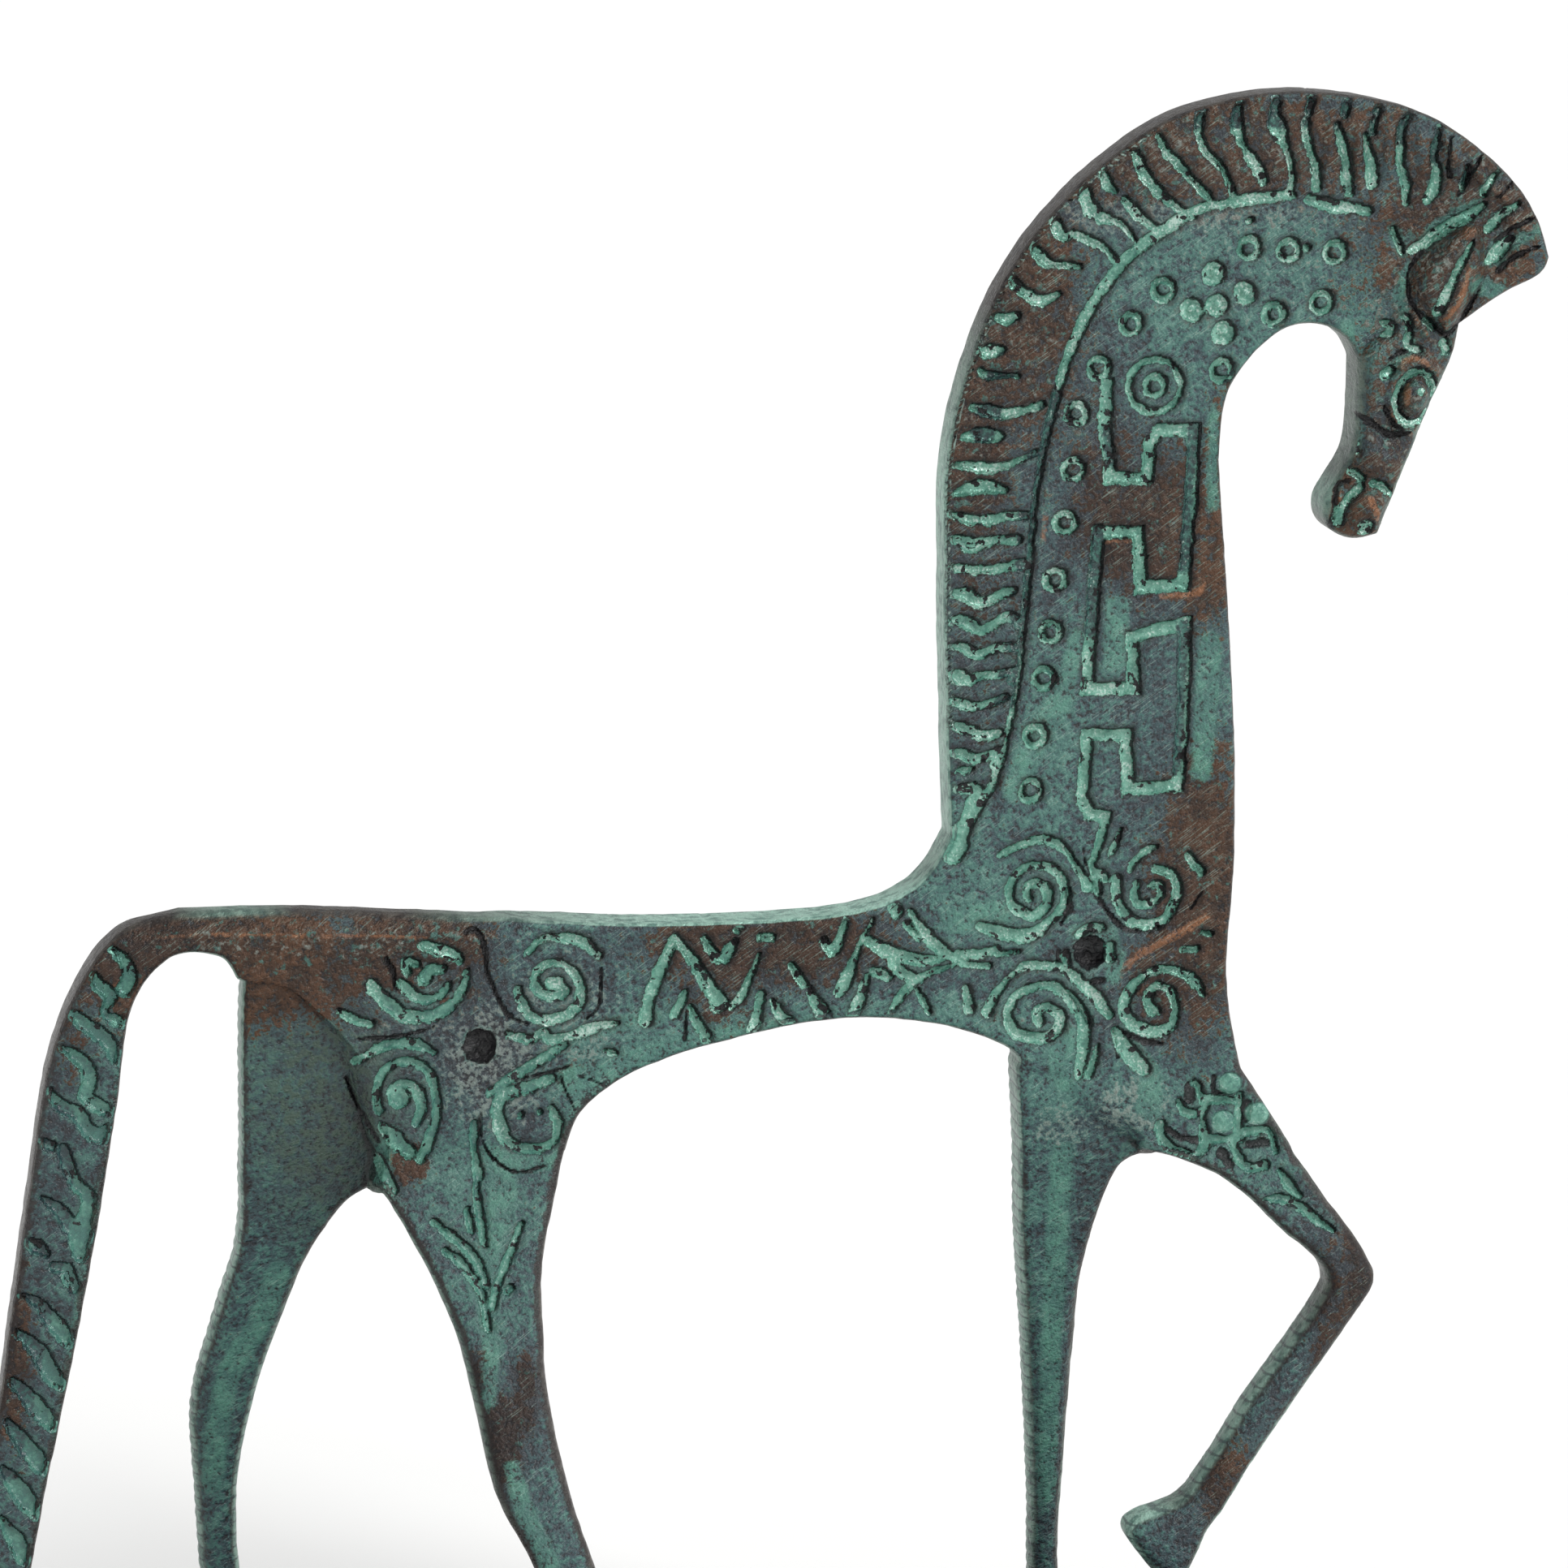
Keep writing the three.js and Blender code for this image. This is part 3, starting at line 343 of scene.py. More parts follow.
# Zigzags and leaves along the belly
BELLY = [
    [[-11.8, 126.5, 1], [-13.5, 122.7, 1.6], [-15, 119.2, 1.8], [-16, 115.7, 1.7], [-16.3, 113.6, 2.2]],
    [[-11.5, 126.2, 1], [-8.9, 122.6, 1.5], [-6.6, 118.7, 1.8], [-5, 116, 2.8]],
    [[-7.2, 126.3, .8], [-5.8, 123.8, 1.3], [-4.5, 122.8, 1.6], [-3.2, 124.4, 1.6], [-2.4, 125.5, 1]],
    [[-10.2, 117.6, 1], [-10.9, 115.9, 1.4], [-11.8, 114.3, 1.3]],
    [[-9.5, 115.6, .5], [-8.3, 113.2, 1.3], [-6.9, 110.5, 1.7]],
    [[-2.1, 127.3, 1], [-1.3, 128.1, .8]],
    [[1.4, 126.1, 1], [3.4, 126, 1]],
    [[1.3, 123.3, .4], [0, 120.1, .8], [-1.3, 117.2, 1.1], [-2.7, 115.3, .8]],
    [[6.3, 121.7, .6], [7.5, 119.9, 1.1], [8.4, 118.5, 1]],
    [[1.6, 117.1, 1], [1.2, 114.2, 1.4], [.3, 111.3, 1.4]],
    [[3.3, 116.1, .5], [4.5, 114.1, 1.5], [6.2, 112.4, 1.7]],
    [[9.1, 117.9, .5], [10.2, 115.6, 1.5], [11.4, 113.6, 2.2]],
    [[14.9, 129.2, .6], [14.4, 126.5, 1.1], [13, 123.6, 1.6]],
    [[11.5, 125.3, 1.1], [12.4, 123.6, 1]],
    [[19.1, 128.4, .3], [16.8, 123.9, .8], [14.9, 119, 1.9], [13.9, 117.1, 1.6]],
    [[18.3, 119.6, .6], [17.2, 116.3, 1.6], [15.9, 113.6, 1.8]],
    [[18.1, 125.3, 1.1], [20.4, 123.9, 1.8], [23.3, 122.7, 1.9], [26.6, 121.8, 1.6], [30.8, 122, .6]],
    [[22, 122.1, 1], [23.3, 120.4, 1.6], [25, 119.1, 1.4], [25.6, 119.4, .6]],
    [[22.4, 130.4, 1.7], [22.8, 129.5, 1.9]],
    [[24.3, 127.6, .8], [26.3, 125.4, .8]],
    [[24.9, 129.8, .5], [27.2, 126.2, 1.4], [29.5, 123.8, 1.6], [32.1, 121.8, 1.1], [34.4, 120.9, .6]],
    [[32.1, 121, .3], [28.9, 120.1, .8], [25.6, 118.4, 1.1], [23, 115.5, 1.1], [21.9, 113.8, .6]],
    [[26, 117.1, .5], [27.3, 115.1, .8], [27.9, 113.6, .5]],
    [[19.1, 120.5, 1], [20.7, 119.8, 1.6], [21.7, 119.2, 1]],
    [[33.8, 117.2, 1], [34.4, 113.9, 1.5]],
]

# Spirals on the haunch, and the sprig on the thigh below them
HAUNCH = [
    [[-50.5, 121, 2], [-49.5, 122.3, 1.7], [-47.8, 122.3, 1.3]],
    [[-54.2, 120.4, 1.3], [-52.5, 118.7, 1.5], [-50.2, 117.7, 1.3], [-47.8, 118.5, 1.2], [-47, 120, 1]],
    [[-58.8, 120.2, 1.7], [-56.9, 118.1, 2], [-54.2, 115.6, 2], [-50.9, 114.9, 1.9], [-47.8, 115.8, 1.7],
     [-45.5, 117.8, 1.3], [-44.4, 120.1, 1], [-44.1, 121.8, .8]],
    [[-53.1, 122.1, 1.1], [-53.5, 123.8, 1.2], [-51.8, 123.4, 1]],
    [[-50.8, 126.2, 1.4], [-48.4, 125.5, 1.6], [-46.1, 124.8, 1.4], [-45.1, 123.9, 1]],
    [[-63.9, 116.4, .5], [-61.9, 115.2, 1.1], [-58.9, 114.1, 1]],
    [[-30.9, 119.7, 1.9], [-30, 119.8, 1.7], [-28.9, 118.4, 1.4], [-30.3, 117.6, 1.4], [-32.3, 118.3, 1.4],
     [-33.5, 119.7, 1.3], [-33.2, 121.5, 1.1], [-31.5, 122.9, 1], [-29.4, 122.9, 1], [-27.4, 121.3, 1.1],
     [-26.3, 119, 1.3], [-26.9, 116.3, 1.5], [-28.9, 114.6, 1.6], [-31.8, 114.1, 1.6],
     [-34.1, 114.8, 1.6], [-35.5, 116.9, 1.3], [-36.2, 118.9, 1]],
    [[-34.6, 124.5, 1], [-32.6, 126.6, 1], [-30, 127, 1.1], [-27.7, 126.6, 1.6], [-25.4, 125.7, 1.4],
     [-23.7, 123.9, 1.1]],
    [[-37.9, 112, .9], [-34.1, 111, 1.3], [-32.4, 112.4, .9], [-31.2, 110.9, 1.3], [-28.3, 111.4, 1]],
    [[-27.8, 111.4, .9], [-25.4, 112.3, 1.5], [-23.1, 112.9, 1.1], [-20.5, 113.2, .4]],
    [[-22.8, 109, .4], [-21.8, 108.7, .9], [-20.8, 108.3, .4]],
    [[-40.4, 102.8, 1.1], [-37.6, 104.8, 1.5], [-33.4, 107.3, 1.4], [-29, 110, 1]],
    [[-31, 104.7, 1.3], [-34.7, 103.4, 1.8], [-38.5, 102.3, 1.9], [-39.4, 100, 1.8], [-39, 97.3, 1.9],
     [-37.7, 94.9, 1.8], [-34.8, 93.8, 1.4], [-31.9, 94.2, 1.3], [-30.3, 95.7, 1.1], [-30.1, 97.7, 1.3],
     [-31, 100, 1.1]],
    [[-35.8, 99.1, 1]],
    [[-32.9, 99.6, 1]],
    [[-54.6, 102.3, 3.1]],
    [[-55.6, 103.7, 1.7], [-53.6, 104.7, 1.3], [-51.6, 103.3, 1.6], [-51.1, 100.5, 1.5], [-52, 98.5, 1.3]],
    [[-57.7, 100.4, 1], [-58, 103.5, 1], [-57, 106.5, 1], [-54.6, 108.1, 1.1], [-51.6, 107.7, 1.2],
     [-49.9, 106, 1.2], [-48.9, 102.9, 1.2], [-49, 99.4, 1.2], [-50, 95.7, 1.5], [-51.4, 92.7, 1.2]],
    [[-61.3, 108.3, 1.2], [-58.9, 109.6, 1.3], [-55.9, 110.9, 1.2], [-51.9, 110.8, 1.5], [-49.2, 109.4, 1]],
    [[-57.1, 97.8, 1.3], [-55.6, 96.4, 2.2], [-54.4, 94.8, 2.4], [-53, 93.6, 1.6]],
    [[-57.6, 92.6, .8], [-56.7, 90, 1.6], [-55.6, 87.9, 1]],
    [[-43.1, 98, .9], [-43, 93.6, 1.1], [-42.5, 89.8, 1.4]],
    [[-42.9, 88.6, .8], [-42.5, 83.5, 1.2], [-42, 79.5, .8]],
    [[-49.9, 83.4, .6], [-47.3, 81.3, 1.1], [-44.8, 79.2, 1.2], [-43.1, 76.8, 1.2], [-42.1, 73.9, 1.1]],
    [[-48.1, 79, .7], [-45.9, 77.4, 1.1], [-44, 75, 1.2], [-42.7, 72.3, 1.1], [-41.9, 67.5, .9]],
    [[-36.1, 82.5, .6], [-37.8, 78.8, 1], [-39.9, 74.4, 1.1], [-41.2, 70.7, 1]],
    [[-38.3, 73.3, 1.1], [-38.9, 72.9, .8]],
    [[-44.5, 84.9, .7], [-43.9, 81.8, .9]],
]

# Hair strokes down the tail
TAIL = [
    [[-98.4, 126.9, .9], [-96.5, 124.9, 1.6], [-95.9, 122.3, 2.4], [-96.6, 120.6, 2.4]],
    [[-101.3, 123.1, 1], [-100.4, 121.1, 1.9], [-98.8, 119.4, 2.1], [-99.8, 117.1, .9],
     [-97.9, 115.8, 1.6], [-96.6, 115.4, 1.3]],
    [[-104.9, 117.3, .8], [-103.4, 115.9, 1.8], [-100.8, 113.9, 2.1], [-98.6, 111.5, 2.1],
     [-97.7, 109.5, 1.9]],
    [[-106.3, 111.7, .8], [-104.1, 110.4, 1.7], [-102.2, 108, 2], [-102.2, 105.7, 2.2],
     [-102.9, 104.1, 1.9], [-100.7, 102.4, 2.2], [-98.8, 101.7, 1.9]],
    [[-108.3, 105.2, .9], [-106.4, 102.6, 1.9], [-103.9, 101.2, 2.3], [-102.6, 99.1, 1.9],
     [-101.1, 97.8, 2.4], [-99.4, 98.4, 2.2]],
    [[-110.1, 97.7, .6], [-108.1, 96.4, 1.3]],
    [[-106.5, 96, 1.3], [-105.6, 93.3, 2.1], [-104.7, 90.6, 1.9], [-102.5, 87.9, 2.2],
     [-103.2, 84.6, 2.4], [-102.6, 82, 1.9]],
    [[-109.9, 88.5, .6], [-107, 86.1, 1.9], [-104.8, 82.7, 2.4], [-103.9, 79.4, 2.4]],
    [[-112.6, 82, .8], [-110.6, 80.6, 2.1], [-109.4, 79.6, 1.3]],
    [[-108.1, 77.5, 1.3], [-106.2, 76.8, 2.1], [-105, 74.1, 2.1]],
    [[-114, 73.4, .5], [-110.8, 72, 1.3], [-108.9, 69.6, 2.3], [-106.4, 66.5, 2.4], [-105.7, 65.2, 1.3]],
    [[-114.7, 67.8, .8], [-112.8, 66.4, 1.6], [-110.3, 63.7, 2.4], [-108.7, 60.6, 2.6], [-107.1, 58.9, 1.9]],
    [[-114.8, 59.8, 1], [-112.9, 57.8, 2.3], [-110.7, 54.7, 2.7], [-108.5, 52.6, 2.3]],
    [[-115.6, 53.2, 1], [-113.7, 50.5, 2.3], [-111.8, 47.7, 2.8], [-109.9, 45.7, 2.3]],
    [[-116.4, 45.9, 1], [-114.5, 43.2, 2.5], [-112.6, 40.4, 2.6], [-111, 38.4, 1.9]],
    [[-116.8, 37.9, .9], [-114.6, 34.5, 2.3], [-113.2, 31.4, 2.2]],
    [[-118.8, 31, .9], [-116.8, 28, 2.2], [-115, 25, 2]],
    [[-120, 24, .9], [-118, 20.8, 2.1], [-116.6, 17.6, 1.8]],
]

# Small cells and twigs on the raised foreleg
FORELEG = [
    [[71.9, 98.5, 1.1], [76.5, 98.1, 1.1]],
    [[77, 99, 1.1], [77.1, 92.2, 1.1]],
    [[72.5, 92.1, 1.1], [77.4, 91.9, 1.1]],
    [[78.2, 93, 1.1], [81.9, 93.2, 1.1], [83, 89.8, .8]],
    [[69.7, 101.4, .5], [70.5, 100.6, .7], [71.3, 98.1, .9]],
    [[67.5, 98.2, .8], [68.3, 96.8, 1.2], [70, 96.1, 1.2], [71.5, 97, .9]],
    [[71.9, 97.6, 1.1], [71.2, 95.7, .9], [71.4, 93.8, 1.1], [71.9, 91.3, 1.4], [69.8, 89.4, .9]],
    [[64.6, 94.5, 1.4], [64.6, 92.9, 1.4], [66.2, 90.9, 1.4], [68.7, 89.7, 1.4]],
    [[76.3, 91.1, 1.2], [77.1, 89.2, 1.3], [78.5, 87.5, 1.2], [81.2, 87.7, 1.2]],
    [[83.4, 87.1, .4], [84.9, 84.8, 1.4], [86.6, 82.9, .8]],
    [[81, 82.5, .4], [84, 82.4, 1.1], [86.7, 81.2, 1.2], [89.5, 79, 1], [92, 77.3, .4]],
]
FORELEG_PADS = [[75.4, 100.9], [74.5, 94.8], [79.9, 95.9]]
PAD_SIZE = [1.6, 1.5]
PAD_HEIGHT = 0.35
PAD_POWER = 0.35

# Dark cracks and hollows that hold no green
CREASES = [
    [[52, 138.7, .4], [52.3, 136.4, .6], [53.6, 133.7, .6], [54, 131.4, .7], [56.3, 128.1, .8],
     [58.3, 126.1, .8], [61.5, 125.4, .7], [64.8, 125.9, .5]],
    [[49.7, 132.2, .5], [49.8, 129.3, .9], [48.5, 127, .6]],
    [[48.2, 122.4, 1.1], [48.2, 121.1, .9]],
    [[53.8, 117.7, 1.4], [55.1, 117.8, 1.2]],
    [[49.5, 116.5, .5], [51.8, 113.8, 1], [53.3, 111.1, 1.1]],
    [[56.9, 109.7, .4], [57.7, 105.6, .7]],
    [[58.7, 109.3, .5], [61.7, 107.9, 1], [64.6, 107.5, .6]],
    [[70.7, 131.3, .4], [69.1, 128.8, .6]],
    [[72.9, 101.9, .8], [72.9, 99.7, .8], [76.7, 99.2, .4]],
    [[78.4, 97.6, 1], [78.1, 94.9, 1]],
    [[69, 100.4, 1.8], [69.1, 98.7, 1.8]],
    [[78.7, 91.1, 1.4], [81.6, 91.2, 1.2]],
    [[74.1, 89.8, 1.8], [75.5, 87.9, 1.4]],
    [[65.7, 93.7, 1], [67.6, 92.5, 1.2], [70.3, 91.9, 1.2]],
    [[-42.3, 100.1, .3], [-42, 95.4, .3], [-40, 92.1, .3], [-36.5, 90.2, .3], [-31.9, 91.2, .3]],
    [[-23.4, 121.8, .4], [-23.8, 116, .5], [-25.6, 114.1, .3]],
    [[-35.9, 104.9, .4], [-31.8, 105.6, .5], [-28.1, 106.7, .3]],
    [[-26.9, 104.9, .3], [-25.2, 104.4, .3], [-23.4, 103.5, .3]],
    [[-29.8, 105, .3], [-28.7, 102, .3], [-27.5, 99.6, .3]],
    [[-10.1, 115.6, .4], [-10.4, 110.3, .5]],
    [[-44.4, 127.9, .4], [-42.7, 128.3, .7], [-41.5, 125.8, .7], [-41, 121.4, .7], [-40.4, 119.9, .6],
     [-38.1, 115.2, .8], [-34.7, 113.3, .6]],
    [[-62.7, 105.3, .5], [-61.7, 102.2, .5], [-60.4, 99.8, .7], [-57.9, 95.3, .8]],
    [[-61.6, 111.8, .4], [-53.9, 112.2, .5], [-49.5, 113.3, .5]],
    [[-56.5, 124.2, .4], [-55.5, 121.8, .8], [-55.2, 119.4, .5]],
    [[113.4, 245.3, .5], [111.6, 242.4, .7], [109.8, 239.3, .5]],
    [[108.6, 248.4, .5], [108.2, 245, .7], [108.5, 242.3, .6]],
    [[118.3, 241.2, .4], [116, 239, .7]],
    [[121.8, 235.6, .4], [118.9, 234.6, .8], [115.9, 232.2, .8]],
    [[122.6, 231.2, .4], [119.3, 230.1, .8], [116, 227.5, .7]],
]
EAR_CREASE = [[112.1, 235.8, .3], [108.2, 234, .5], [104.4, 231, .6], [102.3, 228, .6], [102.1, 225, .7],
              [103.3, 221.8, .8], [106.6, 219, .9], [108, 218, .8], [110.6, 220.3, .6], [113.4, 224.8, .4]]
CHEEK_CREASES = [[[93.6, 206.4, .5], [96.2, 204.6, 1], [99.4, 202.6, 1.1], [102.3, 203, .5]],
                 [[93, 195.6, .5], [91.2, 194.6, .7], [90.4, 188.4, .8]],
                 [[98.4, 207.2, .6], [99.4, 204.8, .8], [101.2, 203.4, .6]],
                 [[99.2, 214.4, .6], [101.2, 215.6, .8], [103.2, 215.4, .5]]]

# Soft strokes of colour alone: light teal washes, faded lengths of the grooves, and worn copper edges
WASHES = [
    [[101.9, 220.2, 1.2], [102.4, 218, 1.2], [103, 216.2, 1.2], [104.2, 215.4, 1.1]],
    [[103, 216.2, 1.1], [101.2, 214.5, 1.2], [100.5, 213.3, 1]],
    [[92.8, 219.6, 2.2], [92.8, 217.6, 2.2]],
    [[98.5, 212.5, 2.2], [99.6, 212.9, 2.2]],
    [[108, 216.6, 2], [108, 215.4, 2]],
    [[94.9, 203.4, 1], [94.7, 201.7, 1]],
    [[88.8, 197.5, 1.7], [89.6, 194.5, 1.7]],
    [[99.6, 234.3, 1.8], [101.2, 230.9, 1.8]],
    [[104.9, 232.4, 2.4], [108, 235.4, 2.4], [113.2, 237.8, 2.1]],
    [[116.5, 231.6, 2.7], [116.5, 229.5, 2.7]],
    [[112.8, 225.6, 2.7], [116.3, 224.6, 2.7]],
    [[123, 234, 1.6], [118.3, 231.6, 1.8]],
    [[116.6, 243.5, 1], [113.8, 240.2, 1.2]],
    [[101.9, 228.2, 1.6], [100.7, 224.2, 1.8], [101.4, 221.1, 1.8]],
    [[-39, 90.7, 3.7], [-39, 86.7, 4.2], [-41.5, 79.2, 3.7], [-42.2, 74.7, 3.2], [-42.2, 70.2, 2.8],
     [-41.8, 63.4, 2.6], [-42.7, 56.7, 2.4]],
    [[-39.2, 47.1, 2.4], [-37.5, 40.7, 3], [-33.6, 31.9, 3.2]],
    [[-29.8, 92.8, 2.6], [-27.6, 97.2, 3.4], [-25, 101.6, 4], [-20.9, 105.6, 3.6], [-16.7, 107.9, 3],
     [-8.9, 110.2, 2.4], [-1.5, 111.7, 2], [9, 112.8, 1.8]],
    [[-28, 104.2, 5], [-22.9, 104.7, 5], [-19.1, 107.9, 3.7]],
    [[-40.8, 93, 3.1], [-37, 91.6, 3.1], [-31.9, 91.4, 2.5]],
    [[-55.9, 96.7, 2.5], [-57.9, 89.7, 2.5], [-56, 84.4, 2.5]],
    [[-28.6, 110.7, 2.2], [-20.3, 113, 2.5], [-15.2, 114.2, 2.5]],
    [[-97.2, 110.1, 1.9], [-98.1, 96, 2.5], [-101.3, 85.9, 3.1], [-103.1, 73.1, 3.1],
     [-105.5, 60.2, 3.1], [-107.6, 48.6, 3.1], [-111, 30, 3.1]],
    [[-72.9, 72.9, 3.7], [-75.5, 64.5, 3.7], [-80.1, 56.1, 3.7], [-82.1, 45.7, 3.7], [-82.9, 36.5, 3.7]],
    [[49.1, 108.5, 5.9], [49.6, 102.8, 5]],
    [[58, 109.2, 2.7], [62.7, 103.4, 2.7]],
    [[62.7, 101, 4.1], [62.8, 97.3, 4.1]],
    [[51.1, 125.5, 2.7], [55.5, 125.6, 2.7], [57, 122.3, 2.7], [56.8, 118.6, 2.7]],
    [[57.1, 176.6, 3.9], [56.8, 167.9, 3.9]],
    [[71.6, 170.6, 3.6], [70.5, 150.7, 3.6]],
    [[71.8, 206.9, 1.9], [71.9, 192.1, 1.9]],
    [[50.7, 172.1, 2], [48.2, 162.1, 3.8], [44.5, 156.3, 4.4], [41, 148, 3.4]],
    [[49.4, 90, 3.4], [49.6, 70, 3.4], [50, 50, 3.2], [50.6, 30, 3]],
    [[31.4, 128, 4], [38, 128.5, 5]],
]
FADES = [
    [[69.2, 204.5, 2], [67.7, 194.6, 2.4], [67.6, 182.5, 2.4]],
    [[53.9, 188.2, 2], [52.9, 172.9, 2.2]],
    [[67.6, 173.2, 2], [66.2, 150.8, 2.2]],
    [[55.6, 203.7, 2], [56.2, 199, 2]],
    [[68, 252, 4], [80, 252.6, 5], [92, 252, 5], [102, 249.5, 5], [112, 243, 5]],
    [[36, 204, 4], [38.5, 212, 4], [43, 219, 3]],
    [[39.5, 162, 3], [42, 178, 2.4], [43.5, 196, 3], [47, 209, 3]],
    [[-107, 100, 5], [-108.5, 82, 5], [-112.5, 64, 5], [-116, 46, 5]],
]
COPPER_LINES = [
    [[71.6, 127.5, 1.2], [67.7, 125.3, 1.4], [64, 123.5, 1.4], [60.2, 121.3, 1.2], [57.9, 118.5, 1]],
    [[55.1, 186.8, .9], [59.4, 187, .9]],
    [[63.9, 178, 1], [69.9, 178.6, 1.3], [70.6, 179.8, .8]],
    [[45.8, 192.5, .9], [45.2, 186.3, .8]],
    [[-94, 128.3, .2], [-84, 128.8, .4], [-72, 128.2, .5], [-58, 127.8, .4], [-50, 127.2, .2]],
    [[111.4, 228.2, .8], [109.6, 223.5, 1], [107.2, 220.3, .7]],
    [[100.7, 212.9, .8], [101.6, 214.2, .9], [103.4, 214.5, .9], [105.2, 213.4, .7]],
    [[101.8, 210.4, .9], [101.8, 207.6, .9]],
    [[96.2, 192.8, 1], [97.6, 189.8, 1]],
]

# Pits in the middle of the spirals
ROSETTES = [[53.1, 122.3], [-42.2, 110.1]]
ROSETTE_PIT = 5.2

# Head: ear, eye, nostril and mouth
EAR = [[106.8, 219.5], [103.8, 222.1], [102.6, 225], [102.8, 227.9], [104.8, 230.7], [108.5, 233.6],
       [112.1, 235.5], [113.8, 233.5], [114.3, 227.7], [113, 224.8], [110.1, 220.5], [107.9, 218.4]]
EAR_HEIGHT = 1.7
EAR_ROUND = 2.2
EAR_SLIT = [[111.8, 232.5, .5], [110.4, 229.9, .9], [108.6, 226.3, 1.3], [106.6, 222, 1.6]]
EYE = [103.3, 208.5]
EYE_TURN = -14
EYE_RING = [3.0, 4.1]
EYE_RING_WIDTH = 1.4
EYE_BALL = [2.2, 2.8]
EYE_PUPIL = [103.9, 209.4]
PUPIL_SIZE = [0.6, 0.6]
EYE_HEIGHT = 1.5
EYE_POWER = 0.6
EYE_WALL = 2.5
BROW_RING = [4.9, 6.6]
BROW_HEIGHT = 0.9
BROW_WALL = 3
FORM_POWER = 1.4
HEAD_GROOVES = [
    [[95.8, 188.4, 2.3]],
    [[95, 194.8, .8], [93.3, 193.1, 1.1], [91.8, 191.2, 1.6], [91.6, 189.2, 1.4]],
    [[96.8, 195.3, .9], [98.5, 194.7, 1.1], [100.1, 192.8, .9]],
    [[93.2, 197.5, .7], [95.2, 196, .9]],
    [[98.1, 220, .4], [99.2, 219.9, .9], [99.8, 219.1, 1], [99.2, 218.2, .9], [98.3, 218.1, .4]],
    [[101.9, 220.7, 1.1], [102.4, 218.5, 1], [102.1, 216.7, 1], [103.9, 215.7, .6]],
    [[104.8, 220.3, .7], [106.1, 219.3, .7]],
    [[107.6, 217.2, 1], [108.2, 215.6, 1.4]],
    [[98.4, 212.2, 1.5], [99.4, 212.9, 1.3]],
    [[99.8, 234.4, .6], [100.6, 232.4, .9], [101.3, 230.8, .6]],
    [[94.6, 201.4, .7], [94.4, 200, .8]],
    [[77.4, 236.1, .8]],
    [[86.3, 231.7, .9]],
]

# Raised forms: x, height, half width, half height, turn, how far it stands out
RAISED_FORMS = [
    [97.2, 211.5, 3.4, 6.4, -6, 0.9],
    [96.6, 191, 3.7, 4.6, 8, 1.3],
    [90.6, 192, 2.3, 3.6, 6, 1.0],
    [97.4, 198.8, 3.9, 3.9, 0, 0.8],
    [103.1, 219.9, 1.1, 1.1, 0, 0.9],
    [104.7, 218.3, 0.9, 0.9, 0, 0.8],
    [109.3, 244.9, 1.6, 4.2, 24, 0.9],
    [113.6, 241.9, 1.3, 3.8, 36, 0.9],
    [117.2, 238.9, 1.2, 3.3, 48, 0.8],
    [119.6, 234.8, 1.2, 3.2, 62, 0.8],
    [120, 230.8, 1.2, 3.2, 74, 0.7],
    [104.2, 246.3, 1.6, 4.6, 8, 0.7],
    [98.9, 246.5, 1.3, 5.4, 0, 0.6],
    [94.1, 246.6, 1.2, 5.6, -4, 0.6],
    [89.6, 247, 1.3, 6, -6, 0.5],
    [65, 124.1, 1.2, 4.6, -62, 0.7],
]

# Patches of colour: x, height, half width, half height, strength
BARE_ZONES = [[62, 190, 10, 9, .9], [56, 200, 5, 6, .6], [73, 190, 2.5, 14, .9], [71, 181, 4, 8, .8],
              [71, 131, 6, 17, 1], [65, 118, 5, 6, .8], [2, 125, 15, 5, .9], [-6, 119, 5, 6, .6],
              [-82, 124, 20, 8, 1], [-54, 126, 10, 5, 1], [-46, 120, 5, 6, .5], [104, 205, 9, 20, .65],
              [110, 232, 13, 14, .8], [97, 192, 7, 8, .8], [66, 248, 36, 8, .8], [42, 222, 8, 16, .85],
              [34, 204, 5, 14, 1], [36, 185, 6, 12, .5], [36, 162, 6, 12, .3], [-41, 51, 2.6, 5, 1],
              [-36.6, 57.5, 1.4, 4.5, .9], [-44.2, 60, 1.4, 3, .9], [-53.5, 92.5, 2.2, 2.6, 1],
              [-115, 64, 2.5, 12, .9], [-104, 118, 3, 9, .6], [96, 72, 2.5, 11, .8], [91, 57, 2.5, 16, .7],
              [75, 37, 4, 6, .8], [-29, 106, 5, 1.5, .5]]
DARK_ZONES = [[55, 50, 2.4, 40, .9], [97, 70, 3, 9, .9], [88, 55, 6, 18, .7], [70, 31, 5, 8, .7],
              [64, 243, 38, 6, .3], [40, 212, 9, 22, .35], [37, 170, 6, 26, .6], [53, 122, 5, 5, .8],
              [-42, 110, 5, 5, .9], [-50, 119, 9, 6, .4], [-41, 51, 4, 7, 1], [-37, 57.5, 2.5, 6, .9],
              [-44, 60, 2.5, 4, .9], [2, 122, 16, 8, .6], [-62, 100, 4, 10, .6], [114, 240, 9, 6, .5],
              [-105, 90, 6, 40, .3], [56, 180, 7, 26, .7], [-58, 115, 6, 5, .5], [-46, 116, 14, 10, .6],
              [-28, 118, 9, 8, .4], [46, 131, 9, 8, .3], [62, 130, 8, 8, .5], [62, 114, 8, 8, .5],
              [46, 111, 9, 8, .3], [99, 203, 4, 4, .8], [103, 214, 8, 8, .3], [106, 222, 2, 9, .5],
              [-92, 126, 9, 4, .6], [-55, 99, 5, 12, .4], [-30, 98, 6, 7, .6], [62, 150, 9, 10, .4],
              [-40, 112, 10, 9, .4]]
